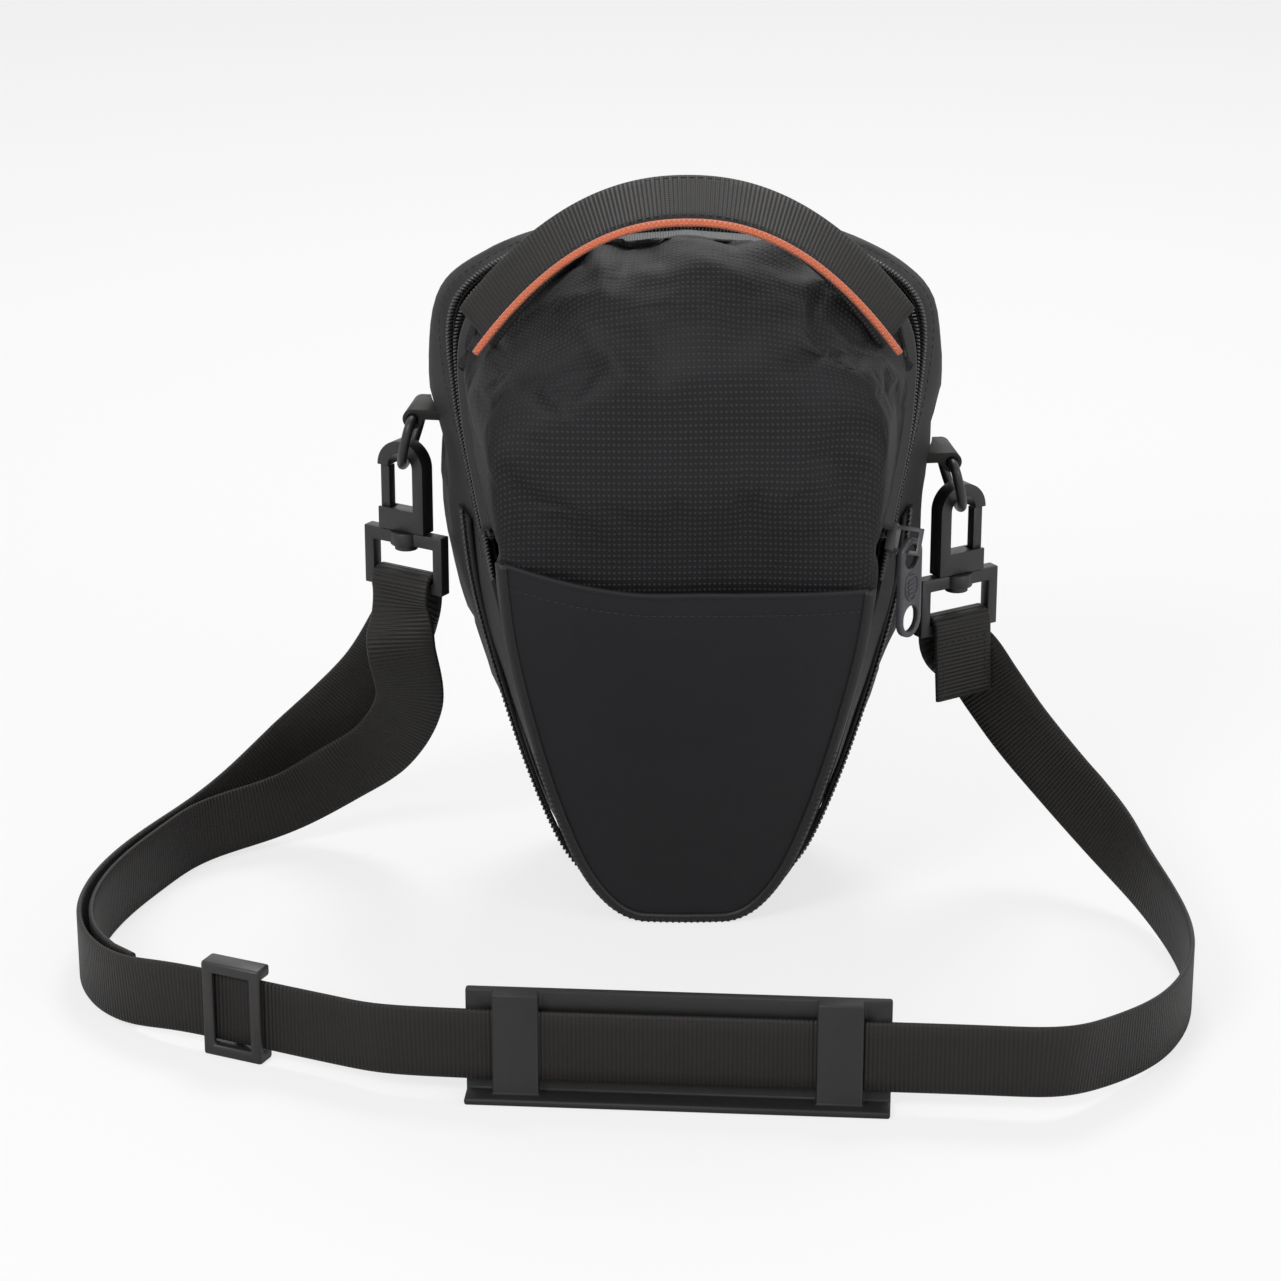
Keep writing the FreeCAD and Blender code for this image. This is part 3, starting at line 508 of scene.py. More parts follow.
def outward_faces(obj):
    """Weld a closed mesh's seams and point its faces outwards."""
    shape = bmesh.new()
    shape.from_mesh(obj.data)
    bmesh.ops.remove_doubles(shape, verts=shape.verts, dist=SEAM_WELD)
    bmesh.ops.recalc_face_normals(shape, faces=shape.faces)
    shape.to_mesh(obj.data)
    shape.free()
    return obj


def sweep(name, centres, normals, profile, material, loop=False):
    """A profile (across, out) carried along a path, with closed ends."""
    centres = np.asarray(centres, float)
    if loop:
        along = unit(np.roll(centres, -1, axis=0) - np.roll(centres, 1, axis=0))
    else:
        along = unit(np.gradient(centres, axis=0))
    normals = np.asarray(normals, float)
    normals = unit(normals - along * np.sum(normals * along, axis=1, keepdims=True))
    across = np.cross(along, normals)
    profile = np.asarray(profile, float)
    points = (centres[:, None] + across[:, None] * profile[None, :, :1]
              + normals[:, None] * profile[None, :, 1:])
    count, sides = points.shape[:2]
    round_length = run_lengths(np.vstack([profile, profile[:1]]))[:-1]
    run = run_lengths(centres)
    uvs = np.stack(np.broadcast_arrays(round_length[None, :], run[:, None]), axis=2)
    faces = []
    for i in range(count if loop else count - 1):
        for j in range(sides):
            k = (j + 1) % sides
            n = (i + 1) % count
            faces.append((i * sides + j, i * sides + k, n * sides + k, n * sides + j))
    if not loop:
        faces.append(tuple(range(sides))[::-1])
        faces.append(tuple((count - 1) * sides + j for j in range(sides)))
    obj = make_object(name, points.reshape(-1, 3), faces, uvs.reshape(-1, 2), material)
    return outward_faces(obj)


def round_profile(radius, flat=1.0, sides=10):
    turns = np.linspace(0, 2 * math.pi, sides, endpoint=False)
    return np.stack([radius * np.cos(turns), radius * flat * np.sin(turns)], axis=1)


def band_profile(width, thick, steps=8):
    """A webbing's section, with slightly rounded selvedges."""
    half, deep = width / 2, thick / 2
    across = np.linspace(-half + deep, half - deep, steps)
    top = [(x, deep) for x in across]
    right = [(half - deep * 0.3, deep * 0.6), (half, 0), (half - deep * 0.3, -deep * 0.6)]
    bottom = [(x, -deep) for x in across[::-1]]
    left = [(-x, -y) for x, y in right]
    return top + right + bottom + left


def softened(node, bevel, material):
    """A copy of a hard CAD piece with its edges rounded, which stands for it."""
    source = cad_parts[node]
    shape = bmesh.new()
    shape.from_mesh(source.data)
    shape.transform(source.matrix_world)
    bmesh.ops.remove_doubles(shape, verts=shape.verts, dist=WELD)
    bmesh.ops.dissolve_limit(shape, angle_limit=FLAT_ANGLE, verts=shape.verts,
                             edges=shape.edges)
    mesh = bpy.data.meshes.new(f"{node}_shape")
    shape.to_mesh(mesh)
    shape.free()
    obj = bpy.data.objects.new(f"{node}_finished", mesh)
    bpy.context.scene.collection.objects.link(obj)
    rounded = obj.modifiers.new("edges", "BEVEL")
    rounded.width = bevel * MM
    rounded.segments = 2
    rounded.limit_method = "ANGLE"
    rounded.angle_limit = BEVEL_ANGLE
    rounded.harden_normals = False
    obj = plain_mesh(obj, f"{node}_finished", material)
    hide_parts(node)
    return obj


def plain_mesh(obj, name, material=None):
    """Apply an object's modifiers into a plain mesh object of the given name."""
    bpy.context.view_layer.update()
    graph = bpy.context.evaluated_depsgraph_get()
    mesh = bpy.data.meshes.new_from_object(obj.evaluated_get(graph), depsgraph=graph)
    bpy.data.objects.remove(obj, do_unlink=True)
    mesh.name = name
    if material is not None:
        mesh.materials.clear()
        mesh.materials.append(MATERIALS[material])
    mesh.polygons.foreach_set("use_smooth", [True] * len(mesh.polygons))
    made = bpy.data.objects.new(name, mesh)
    bpy.context.scene.collection.objects.link(made)
    mesh.set_sharp_from_angle(angle=SHARP_ANGLE)
    return made


def finish_piece(obj, body, slot, *nodes):
    """Ride a piece on its body and hide the nodes it stands for; `slot` is not used."""
    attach(obj, body)
    if nodes:
        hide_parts(*nodes)
    return obj


def stuffed(grid, centre, free, pressure, looser, cap):
    """The grid after its fabric is blown out from inside. `free` is 0 where it is held
    and 1 where it moves, `looser` the share by which the fabric is cut too large, and
    `cap` the farthest it may move."""
    rows, columns = (np.unique(np.append(np.arange(0, size, 2), size - 1))
                     for size in grid.shape[:2])
    coarse = grid[np.ix_(rows, columns)]
    index = np.arange(coarse.shape[0] * coarse.shape[1]).reshape(coarse.shape[:2])
    faces = np.stack([index[:-1, :-1], index[:-1, 1:], index[1:, 1:], index[1:, :-1]], 2)
    faces = faces.reshape(-1, 4)
    facing = np.cross(coarse[0, 1] - coarse[0, 0], coarse[1, 0] - coarse[0, 0])
    if facing @ outward(coarse, centre)[0, 0] < 0:
        faces = faces[:, ::-1]
    no_uvs = np.zeros((index.size, 2))
    obj = make_object("stuffing", coarse.reshape(-1, 3), faces, no_uvs, "thread")
    held = free[np.ix_(rows, columns)] < 0.02
    held[[0, -1]] = held[:, [0, -1]] = True
    group = obj.vertex_groups.new(name="held")
    group.add([int(i) for i in index[held]], 1.0, "REPLACE")
    fabric = obj.modifiers.new("cloth", "CLOTH").settings
    fabric.quality = 6
    fabric.mass = 0.25
    fabric.tension_stiffness = fabric.compression_stiffness = 20
    fabric.bending_stiffness = 0.4
    fabric.vertex_group_mass = "held"
    fabric.shrink_min = -looser
    fabric.use_pressure = True
    fabric.uniform_pressure_force = pressure
    fabric.effector_weights.gravity = 0
    scene = bpy.context.scene
    for frame_number in range(1, SIM_FRAMES + 1):
        scene.frame_set(frame_number)
    graph = bpy.context.evaluated_depsgraph_get()
    result = obj.evaluated_get(graph).to_mesh()
    places = np.empty(len(result.vertices) * 3)
    result.vertices.foreach_get("co", places)
    moved = places.reshape(coarse.shape) / MM - coarse
    bpy.data.objects.remove(obj, do_unlink=True)
    scene.frame_set(1)
    far = np.linalg.norm(moved, axis=2, keepdims=True)
    moved *= np.minimum(1.0, cap / np.maximum(far, 1e-6))
    tall, wide = np.arange(len(grid)), np.arange(grid.shape[1])
    half = np.stack([[np.interp(tall, rows, moved[:, j, k]) for k in range(3)]
                     for j in range(moved.shape[1])])
    full = np.stack([[np.interp(wide, columns, half[:, k, i]) for k in range(3)]
                     for i in range(len(grid))])
    return grid + full.transpose(0, 2, 1) * free[..., None]


# ---------------------------------------------------------------------------------------
# Rows of small pieces along a path, with Geometry Nodes
# ---------------------------------------------------------------------------------------
def bead_tree():
    """Beads along a curve: inputs for pitch, size and material."""
    tree = bpy.data.node_groups.new("beads_along_curve", "GeometryNodeTree")
    for name, in_out, kind in (("Geometry", "INPUT", "Geometry"), ("Pitch", "INPUT", "Float"),
                               ("Bead Size", "INPUT", "Vector"), ("Twist", "INPUT", "Float"),
                               ("Material", "INPUT", "Material"),
                               ("Geometry", "OUTPUT", "Geometry")):
        tree.interface.new_socket(name, in_out=in_out, socket_type=f"NodeSocket{kind}")
    new = tree.nodes.new
    entry, leave = new("NodeGroupInput"), new("NodeGroupOutput")
    curve, spaced = new("GeometryNodeMeshToCurve"), new("GeometryNodeResampleCurve")
    spaced.mode = "LENGTH"
    bead = new("GeometryNodeMeshUVSphere")
    bead.inputs["Segments"].default_value = 8
    bead.inputs["Rings"].default_value = 5
    bead.inputs["Radius"].default_value = 0.5
    tangent = new("GeometryNodeInputTangent")
    out = new("GeometryNodeInputNamedAttribute")
    out.data_type = "FLOAT_VECTOR"
    out.inputs["Name"].default_value = "out"
    aim, roll = (new("FunctionNodeAlignRotationToVector") for _ in range(2))
    aim.axis, roll.axis, roll.pivot_axis = "X", "Z", "X"
    turned = new("FunctionNodeRotateRotation")
    turned.rotation_space = "LOCAL"
    twist = new("ShaderNodeCombineXYZ")
    euler = new("FunctionNodeEulerToRotation")
    place, real = new("GeometryNodeInstanceOnPoints"), new("GeometryNodeRealizeInstances")
    paint, flat = new("GeometryNodeSetMaterial"), new("GeometryNodeSetShadeSmooth")
    for source, output, target, entrance in (
            (entry, "Geometry", curve, "Mesh"),
            (curve, "Curve", spaced, "Curve"),
            (entry, "Pitch", spaced, "Length"),
            (spaced, "Curve", place, "Points"),
            (bead, "Mesh", place, "Instance"),
            (entry, "Bead Size", place, "Scale"),
            (tangent, "Tangent", aim, "Vector"),
            (aim, "Rotation", roll, "Rotation"),
            (out, "Attribute", roll, "Vector"),
            (entry, "Twist", twist, "Z"),
            (twist, "Vector", euler, "Euler"),
            (roll, "Rotation", turned, "Rotation"),
            (euler, "Rotation", turned, "Rotate By"),
            (turned, "Rotation", place, "Rotation"),
            (place, "Instances", flat, "Geometry"),
            (flat, "Geometry", real, "Geometry"),
            (real, "Geometry", paint, "Geometry"),
            (entry, "Material", paint, "Material"),
            (paint, "Geometry", leave, "Geometry")):
        tree.links.new(source.outputs[output], target.inputs[entrance])
    return tree


def beads(name, paths, pitch, bead_size, material, body, slot, *nodes, twist=0.0):
    """Beads along each (points, outward normals) path, as one finished piece. A bead's
    size is along the path, across it and out of the surface."""
    points, edges, out = [], [], []
    for path, normals in paths:
        start = len(points)
        points += [tuple(p * MM) for p in np.asarray(path)]
        out += [tuple(n) for n in np.asarray(normals)]
        edges += [(i, i + 1) for i in range(start, len(points) - 1)]
    mesh = bpy.data.meshes.new(f"{name}_path")
    mesh.from_pydata(points, edges, [])
    layer = mesh.attributes.new("out", "FLOAT_VECTOR", "POINT")
    layer.data.foreach_set("vector", np.array(out, dtype=np.float32).ravel())
    obj = bpy.data.objects.new(f"{name}_path", mesh)
    bpy.context.scene.collection.objects.link(obj)
    tree = bpy.data.node_groups.get("beads_along_curve") or bead_tree()
    modifier = obj.modifiers.new("beads", "NODES")
    modifier.node_group = tree
    values = {"Pitch": pitch * MM, "Bead Size": [s * MM for s in bead_size],
              "Twist": twist, "Material": MATERIALS[material]}
    for item in tree.interface.items_tree:
        if item.in_out == "INPUT" and item.name in values:
            modifier[item.identifier] = values[item.name]
    return finish_piece(plain_mesh(obj, name), body, slot, *nodes)


# ---------------------------------------------------------------------------------------
# Fabric of the body
# ---------------------------------------------------------------------------------------
CENTRE = (0, -5, 130)        # points that the fabric of a group faces away from
ZIP_CENTRE = (0, 60, 120)
BACK_CENTRE = (0, 0, 120)
ROW_EDGE = 6.6               # zip plane to the outer edge of either zip tape
BINDING_EDGE = 12.0          # zip plane to the edge of the dotted fabric
LINING_DEPTH = 8.0           # outer face of the front to its lining
CELL = 1.5                   # spacing of the front's grid, about
ROW_MIDDLE = 3.0             # zip plane to the middle of an open coil
EXPANSION_TAPE = (-19.0, -7.0)   # depths of the expansion zip's two edges


class BAG_OT_front(bpy.types.Operator):
    """Dotted fabric of the front and the lid, which bends at the fold line."""
    bl_idname = "bag.build_front"
    bl_label = "Front and lid"

    def execute(self, context):
        sizes = context.scene.bag_sizes
        skin = Skin(sizes)
        rows, columns = 150, 131
        seam = 1.0 - BINDING_EDGE
        origin, rise = skin.page(seam, 0.0)
        lid_edge = skin.hit(origin, np.array([rise]))[0]
        face_top = skin.top(-sizes.front)
        centre_line = smooth_path([
            (0, float(skin.front_y(np.array(108.0))), 108.0), (0, -57.0, 140.0),
            (0, -60.5, 165.0), (0, -60.6, 195.0), (0, -58.5, face_top - 8),
            (0, -50.0, face_top + 5), (0, -36.0, skin.top(-36.0) - 1.0),
            (0, -18.0, skin.top(-18.0)), tuple(lid_edge)], rows)
        grid = np.empty((rows, columns, 3))
        for row, middle in enumerate(centre_line):
            reach = middle - origin
            turn = math.atan2(reach @ skin.page(0, math.pi / 2)[1], reach @ skin.page(0, 0)[1])
            grid[row] = skin.page_curve(seam, turn, columns, 0.03, math.pi - 0.03)
        grid = relax(grid, 60)
        inside = grid - outward(grid, CENTRE) * LINING_DEPTH
        from_top = (np.arange(rows)[::-1] * CELL)[:, None]
        folds = (smoothstep(grid[..., 2], 200, 232) * smoothstep(from_top, 0, 9))[..., None]
        grid += outward(grid, CENTRE) * folds * (2.0 * ripple(grid, 24, 6.3))[..., None]
        from_side = np.minimum(np.arange(columns), np.arange(columns)[::-1])[None, :]
        free = smoothstep(from_side, 10, 30) * smoothstep(grid[..., 2], 142, 175)
        grid = stuffed(grid, CENTRE, free, 2.0, 0.045, 5.0)
        normals = outward(grid, CENTRE)
        z = grid[..., 2]
        edge = from_side * CELL * np.ones_like(z)
        rim = smoothstep(edge, 0, 10) * smoothstep(from_top, 0, 9)
        lid = smoothstep(z, 205, 236)
        pucker = np.sin(z / 2.3 + 1.7 * np.sin(z / 9.0)) * np.exp(-((edge - 7) / 7) ** 2)
        heave = (1.1 * rim * ripple(grid, 46, 3.1) + 0.45 * rim * ripple(grid, 17, 8.2)
                 + 0.55 * pucker * smoothstep(z, 150, 185)
                 + lid * rim * (3.0 * ripple(grid * [1, 0.6, 0.6], 30, 5.5)
                                + 1.3 * ripple(grid, 12, 1.2)))
        tuck = 1.6 * np.exp(-edge / 2.2)
        grid = grid + normals * (heave - tuck + 0.2)[..., None]
        panel = cloth("front_and_lid", grid, 3.2, "dot_nylon", CENTRE)
        above = inside[inside[:, columns // 2, 2] > sizes.fold + 2]
        below = inside[inside[:, columns // 2, 2] < sizes.fold - 2]
        lid_lining = cloth("lid_lining", above, 1.0, "lining_cloth", CENTRE)
        finish_piece(lid_lining, "flap", "lining_cloth", "flap_lining")
        wall_lining = cloth("front_lining", below, 1.0, "lining_cloth", CENTRE)
        finish_piece(wall_lining, "bag", "lining_cloth")
        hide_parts("flap_panel", "lower_front_wall")
        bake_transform(panel)
        edge_path = skin.page_curve(-(BINDING_EDGE + ROW_EDGE) / 2, 0.0, 120, 0.09,
                                    math.pi - 0.09)
        out = unit(edge_path - np.array([0, 40, 110]))
        tape = sweep("lid_binding", edge_path + out * 0.3, out,
                     band_profile(BINDING_EDGE - ROW_EDGE + 1.2, 2.0), "binding")
        finish_piece(tape, "flap", "binding", "flap_binding")
        return {"FINISHED"}


class BAG_OT_gusset(bpy.types.Operator):
    """Side fabric all round the bag, the padded back and the belt loop."""
    bl_idname = "bag.build_gusset"
    bl_label = "Gusset and back"

    def execute(self, context):
        sizes = context.scene.bag_sizes
        skin = Skin(sizes)
        around = smooth_path(OUTLINE, 110)
        around = np.vstack([around, (around * [-1, 1])[-2::-1]])
        columns = len(around)
        depth_rows = np.linspace(0, 1, 54)
        grid = np.empty((len(depth_rows), columns, 3))
        for column, (across, up) in enumerate(around):
            z = up * sizes.height
            low_front = float(skin.front_y(np.array(z))) + 2.5
            at_zip = float(skin.zip_y(z * 0.985, ROW_EDGE - 0.5))
            blend = float(smoothstep(z, 126.0, 134.0))
            y = low_front * (1 - blend) + max(at_zip, low_front) * blend
            ys = y + (sizes.back - y) * depth_rows
            wide = skin.half * np.interp(ys, skin.depths, skin.widths)
            tall = skin.height * np.interp(ys, skin.depths, skin.heights)
            grid[:, column] = np.stack([across * wide, ys, up * tall], axis=1)
        inset = 7.0 * smoothstep(grid[..., 1], sizes.back - 9, sizes.back + 0.5) ** 2
        middle = np.array([0, 0, 118.0])
        side = unit((grid - middle) * [1, 0, 1])
        grid -= side * inset[..., None]
        normals = side
        z = grid[..., 2]
        free = smoothstep(z, 6, 40) * np.sin(math.pi * np.clip(depth_rows, 0, 1))[:, None]
        sag = 2.0 * ripple(grid, 55, 2.4) + 0.8 * ripple(grid * [1, 1.6, 1], 22, 6.8)
        bulge = 3.2 * np.exp(-((z - 118) / 26) ** 2) * (grid[..., 0] > 0)
        grid += normals * (free * (sag + bulge))[..., None]
        free = smoothstep(grid[..., 1], 4, 22) * smoothstep(-grid[..., 1], -54, -44)
        grid = stuffed(grid, CENTRE, free * smoothstep(grid[..., 2], 8, 30), 1.5, 0.02, 2.5)
        grid[..., 2] = np.maximum(grid[..., 2], 0.0)
        gusset = cloth("gusset_fabric", grid, 2.6, "plain_nylon", CENTRE, normals,
                       loop_round=True)
        finish_piece(gusset, "bag", "plain_nylon", "rear_gusset", "front_gusset")
        lining = cloth("bag_lining", grid[1:-2] - normals[1:-2] * 3.0, 1.0,
                       "lining_cloth", CENTRE, normals[1:-2], loop_round=True)
        finish_piece(lining, "bag", "lining_cloth", "lining")

        rim = grid[-1]
        shares = np.concatenate([[1.0, 0.985], np.linspace(0.95, 0.02, 22)])
        hub = np.array([0, sizes.back, 122.0])
        back = np.stack([hub + (rim - hub) * share for share in shares])
        crown = 1.8 * smoothstep(1 - shares, 0.0, 0.12)
        quilt = 0.7 * ripple(back, 40, 9.1)
        back[..., 1] = sizes.back - 0.6 + crown[:, None] + quilt * (crown[:, None] / 1.8)
        panel = cloth("back_padding", back, 3.0, "plain_nylon", BACK_CENTRE, loop_round=True)
        finish_piece(panel, "bag", "plain_nylon", "back_panel")
        inside = back * [0.955, 1, 0.97] + [0, -5.2, 3.5]
        back_lining = cloth("back_lining", inside, 1.0, "lining_cloth", BACK_CENTRE,
                            loop_round=True)
        finish_piece(back_lining, "bag", "lining_cloth")
        out = unit((rim - hub) * [1, 0, 1]) + np.array([0, 0.6, 0])
        piping = sweep("back_piping", rim + [0, -0.4, 0.0] + unit(out) * 0.6, unit(out),
                       round_profile(1.7), "binding")
        finish_piece(piping, "bag", "binding")

        low, high = BOXES["belt_loop"]
        z0, z1, y1 = low[2], high[2], high[1]
        path = smooth_path([(0, sizes.back + 1.6, z0 + 1), (0, sizes.back + 2.2, z0 + 7),
                            (0, y1 - 2.4, z0 + 16), (0, y1 - 1.2, z0 + 30),
                            (0, y1 - 1.2, z1 - 30), (0, y1 - 2.4, z1 - 16),
                            (0, sizes.back + 2.2, z1 - 7), (0, sizes.back + 1.6, z1 - 1)], 60)
        belt = sweep("belt_loop_webbing", path, np.tile([0.0, 1.0, 0.0], (60, 1)),
                     band_profile(high[0] - low[0], 2.0), "webbing")
        finish_piece(belt, "bag", "webbing", "belt_loop")
        return {"FINISHED"}


class BAG_OT_pocket(bpy.types.Operator):
    """Slip pocket in coated fabric, with its hem, stitches and bound edge."""
    bl_idname = "bag.build_pocket"
    bl_label = "Slip pocket"
    FOOT = 2.5               # height of the pocket's lower edge
    HEM_ROWS = 7             # rows of its grid from the hem down to the stitches

    def hem(self, sizes, x):
        """Height of the hem, higher on the left."""
        return sizes.hem + 11.5 * np.clip((-x - 12) / 56, 0, 1) ** 1.6

    def surface(self, skin, sizes, x, z, wide):
        """Depth of the pocket's face: it stands a little off the wall in the middle."""
        share = np.clip(np.abs(x) / wide, 0, 1)
        stand = 0.8 + 5.2 * (1 - share ** 3) * (0.30 + 0.70 * smoothstep(z, 10, 110))
        return skin.front_y(z) - stand

    def execute(self, context):
        sizes = context.scene.bag_sizes
        skin = Skin(sizes)
        rows, columns = 110, 101
        grid = np.empty((rows, columns, 3))
        shares = np.linspace(-1, 1, columns)
        for row, up in enumerate(np.linspace(0, 1, rows)):
            x_guess = shares * 66
            z = self.FOOT + (self.hem(sizes, x_guess) - self.FOOT) * up
            wide = skin.half_width(np.full_like(z, -sizes.front), z) - 0.8
            x = shares * wide
            z = self.FOOT + (self.hem(sizes, x) - self.FOOT) * up
            y = self.surface(skin, sizes, x, z, wide)
            grid[row] = np.stack([x, y, z], axis=1)
        normals = outward(grid, CENTRE)
        free = (1 - np.abs(shares) ** 4)[None, :]
        wave = 0.9 * ripple(grid, 60, 4.4) + 0.25 * ripple(grid, 14, 7.7)
        grid += normals * (wave * free)[..., None]
        panel = cloth("slip_pocket", grid, 1.1, "coated_nylon", CENTRE)
        finish_piece(panel, "bag", "coated_nylon", "slip_pocket_panel")

        hem = grid[-1] - normals[-1] * 0.5
        fold = sweep("pocket_hem", hem, normals[-1], round_profile(1.3, 0.75), "coated_nylon")
        finish_piece(fold, "bag", "coated_nylon")
        out = normals[-self.HEM_ROWS]
        row = grid[-self.HEM_ROWS] + out * 0.12
        beads("pocket_stitches", [(row, out)], 2.6, (1.9, 0.42, 0.34), "thread", "bag",
              "coated_nylon")

        edge = resample(np.vstack([grid[::-1, 0], grid[0, 1:-1], grid[:, -1]]), 220)
        for _ in range(30):
            edge[1:-1] += 0.5 * ((edge[:-2] + edge[2:]) / 2 - edge[1:-1])
        side = unit((edge - [0, 0, 75]) * [1, 0, 1])
        path = edge + side * 1.0 + [0, 0.8, 0]
        path[:, 2] = np.maximum(path[:, 2], 1.9)
        out = unit(side + [0, -0.8, 0])
        binding = sweep("pocket_binding", path, out, round_profile(2.5, 0.7, 14), "binding")
        finish_piece(binding, "bag", "binding", "front_binding")
        low = path[:, 2] < 70
        runs = [(path[low] + out[low] * 1.75, out[low])]
        beads("binding_stitches", runs, 2.2, (1.1, 2.4, 0.5), "thread", "bag", "binding")
        return {"FINISHED"}


# ---------------------------------------------------------------------------------------
# Zips
# ---------------------------------------------------------------------------------------
class BAG_OT_zips(bpy.types.Operator):
    """Main zip with its open rows, the expansion zip, and their stitches."""
    bl_idname = "bag.build_zips"
    bl_label = "Zips"

    def tape(self, name, skin, near, far, body, node):
        """A strip of woven tape between two planes along the zip. On the bag it runs on
        below the lid's corners."""
        spare = 0.22 if body == "bag" else -0.02
        grid = np.stack([skin.page_curve(away, 0.0, 150, -spare, math.pi + spare)
                         for away in np.linspace(near, far, 5)])
        normals = outward(grid, ZIP_CENTRE)
        strip = cloth(name, grid + normals * 0.2, 0.9, "zip_tape", ZIP_CENTRE, normals)
        finish_piece(strip, body, "zip_coil", node)

    def execute(self, context):
        sizes = context.scene.bag_sizes
        skin = Skin(sizes)
        self.tape("zip_tape_lid", skin, -ROW_EDGE - 0.5, -2.0, "flap", "zip_row_flap")
        self.tape("zip_tape_bag", skin, 2.0, ROW_EDGE + 1.0, "bag", "zip_row_bag")
        for name, away, body, start in (("zip_coil_lid", -ROW_MIDDLE, "flap", 0.15),
                                        ("zip_coil_bag", ROW_MIDDLE, "bag", 0.02)):
            path = skin.page_curve(away, 0.0, 260, start, math.pi - start)
            near = skin.page_curve(away - 1, 0.0, 260, start, math.pi - start)
            out = unit(np.cross(np.gradient(path, axis=0), near - path))
            out *= np.sign(np.sum(out * (path - ZIP_CENTRE)))
            beads(name, [(path + out * 1.1, out)], sizes.coil_pitch, (0.95, 3.6, 2.2),
                  "zip_coil", body, "zip_coil")
        closed = []
        for start, end in ((-0.21, 0.0), (math.pi, math.pi + 0.21)):
            for away in (-1.1, 1.1):
                path = skin.page_curve(away, 0.0, 40, start, end)
                out = unit(path - np.array([0, -5, 150])) * [1, 1, 0]
                closed.append((path + out * 0.9, out))
        beads("zip_closed_coils", closed, sizes.coil_pitch, (0.95, 2.6, 1.4), "zip_coil",
              "bag", "zip_coil", "zip_closed_ends")

        stitch_path = skin.page_curve(ROW_EDGE + 5.0, 0.0, 260, -0.15, math.pi + 0.15)
        out = unit(stitch_path - ZIP_CENTRE)
        beads("gusset_stitches", [(stitch_path + out * 1.5, out)], sizes.stitch_pitch,
              (2.1, 0.4, 0.4), "thread", "bag", "plain_nylon")
        self.expansion(sizes, skin)
        return {"FINISHED"}

    def expansion(self, sizes, skin):
        """The closed second zip: two tapes and a row of teeth round the lower bag."""
        around = smooth_path(OUTLINE, 300)
        around = around[around[:, 1] * sizes.height < sizes.expansion_top]
        around = np.vstack([(around * [-1, 1])[::-1], around[1:]])
        rows = []
        for y in np.linspace(*EXPANSION_TAPE, 7):
            wide = skin.half * np.interp(y, skin.depths, skin.widths)
            tall = skin.height * np.interp(y, skin.depths, skin.heights)
            rows.append(np.stack([around[:, 0] * wide, np.full(len(around), y),
                                  around[:, 1] * tall], axis=1))
        grid = np.stack(rows)
        normals = outward(grid, (0, -10, 120))
        lift = 1.9 * smoothstep(grid[..., 2], 0.5, 14)
        grid += normals * lift[..., None]
        strip = cloth("expansion_tape", grid, 1.2, "zip_tape", CENTRE, normals)
        finish_piece(strip, "bag", "zip_coil", "expansion_zip")
        mid, out = grid[3], normals[3]
        keep = mid[:, 2] > 4.0
        paths = []
        for part in (mid[:, 0] < 0, mid[:, 0] > 0):
            chosen = keep & part
            for shift in (-1.0, 1.0):
                offset = mid[chosen] + [0, shift, 0] + out[chosen] * 0.5
                paths.append((offset, out[chosen]))
        beads("expansion_teeth", paths, 1.9, (1.25, 2.5, 1.5), "zip_coil", "bag",
              "zip_coil", twist=0.5)


# ---------------------------------------------------------------------------------------
# Handle
# ---------------------------------------------------------------------------------------
class BAG_OT_handle(bpy.types.Operator):
    """Webbing handle over the lid, with the braided cord along its front edge."""
    bl_idname = "bag.build_handle"
    bl_label = "Handle"

    def execute(self, context):
        sizes = context.scene.bag_sizes
        low, high = BOXES["handle_webbing"]
        top = high[2] - sizes.webbing_thick / 2
        count, half, drop, tilt = 90, 68.0, 40.0, math.radians(24)
        middle_y = (low[1] + high[1]) / 2
        across = np.linspace(-1.06, 1.06, count)
        path = np.stack([half * across, np.full(count, middle_y),
                         top - drop * np.abs(across) ** 2.2], axis=1)
        up = np.tile([0.0, -math.sin(tilt), math.cos(tilt)], (count, 1))
        webbing = sweep("handle_band", path, up,
                        band_profile(sizes.webbing, sizes.webbing_thick), "webbing")
        finish_piece(webbing, "flap", "webbing", "handle_webbing")
        edge = np.array([0.0, -math.cos(tilt), -math.sin(tilt)])
        front = path + edge * (sizes.webbing / 2 + 0.9)
        cord = sweep("handle_braid", front, up, round_profile(1.35, 1.0, 12), "orange_braid")
        finish_piece(cord, "flap", "orange_braid", "handle_cord")
        rows = [(path + edge * side * (sizes.webbing / 2 - 2.2) + up * 1.05, up)
                for side in (-1, 1)]
        beads("handle_stitches", rows, 3.0, (2.1, 0.45, 0.4), "thread", "flap", "webbing")
        return {"FINISHED"}


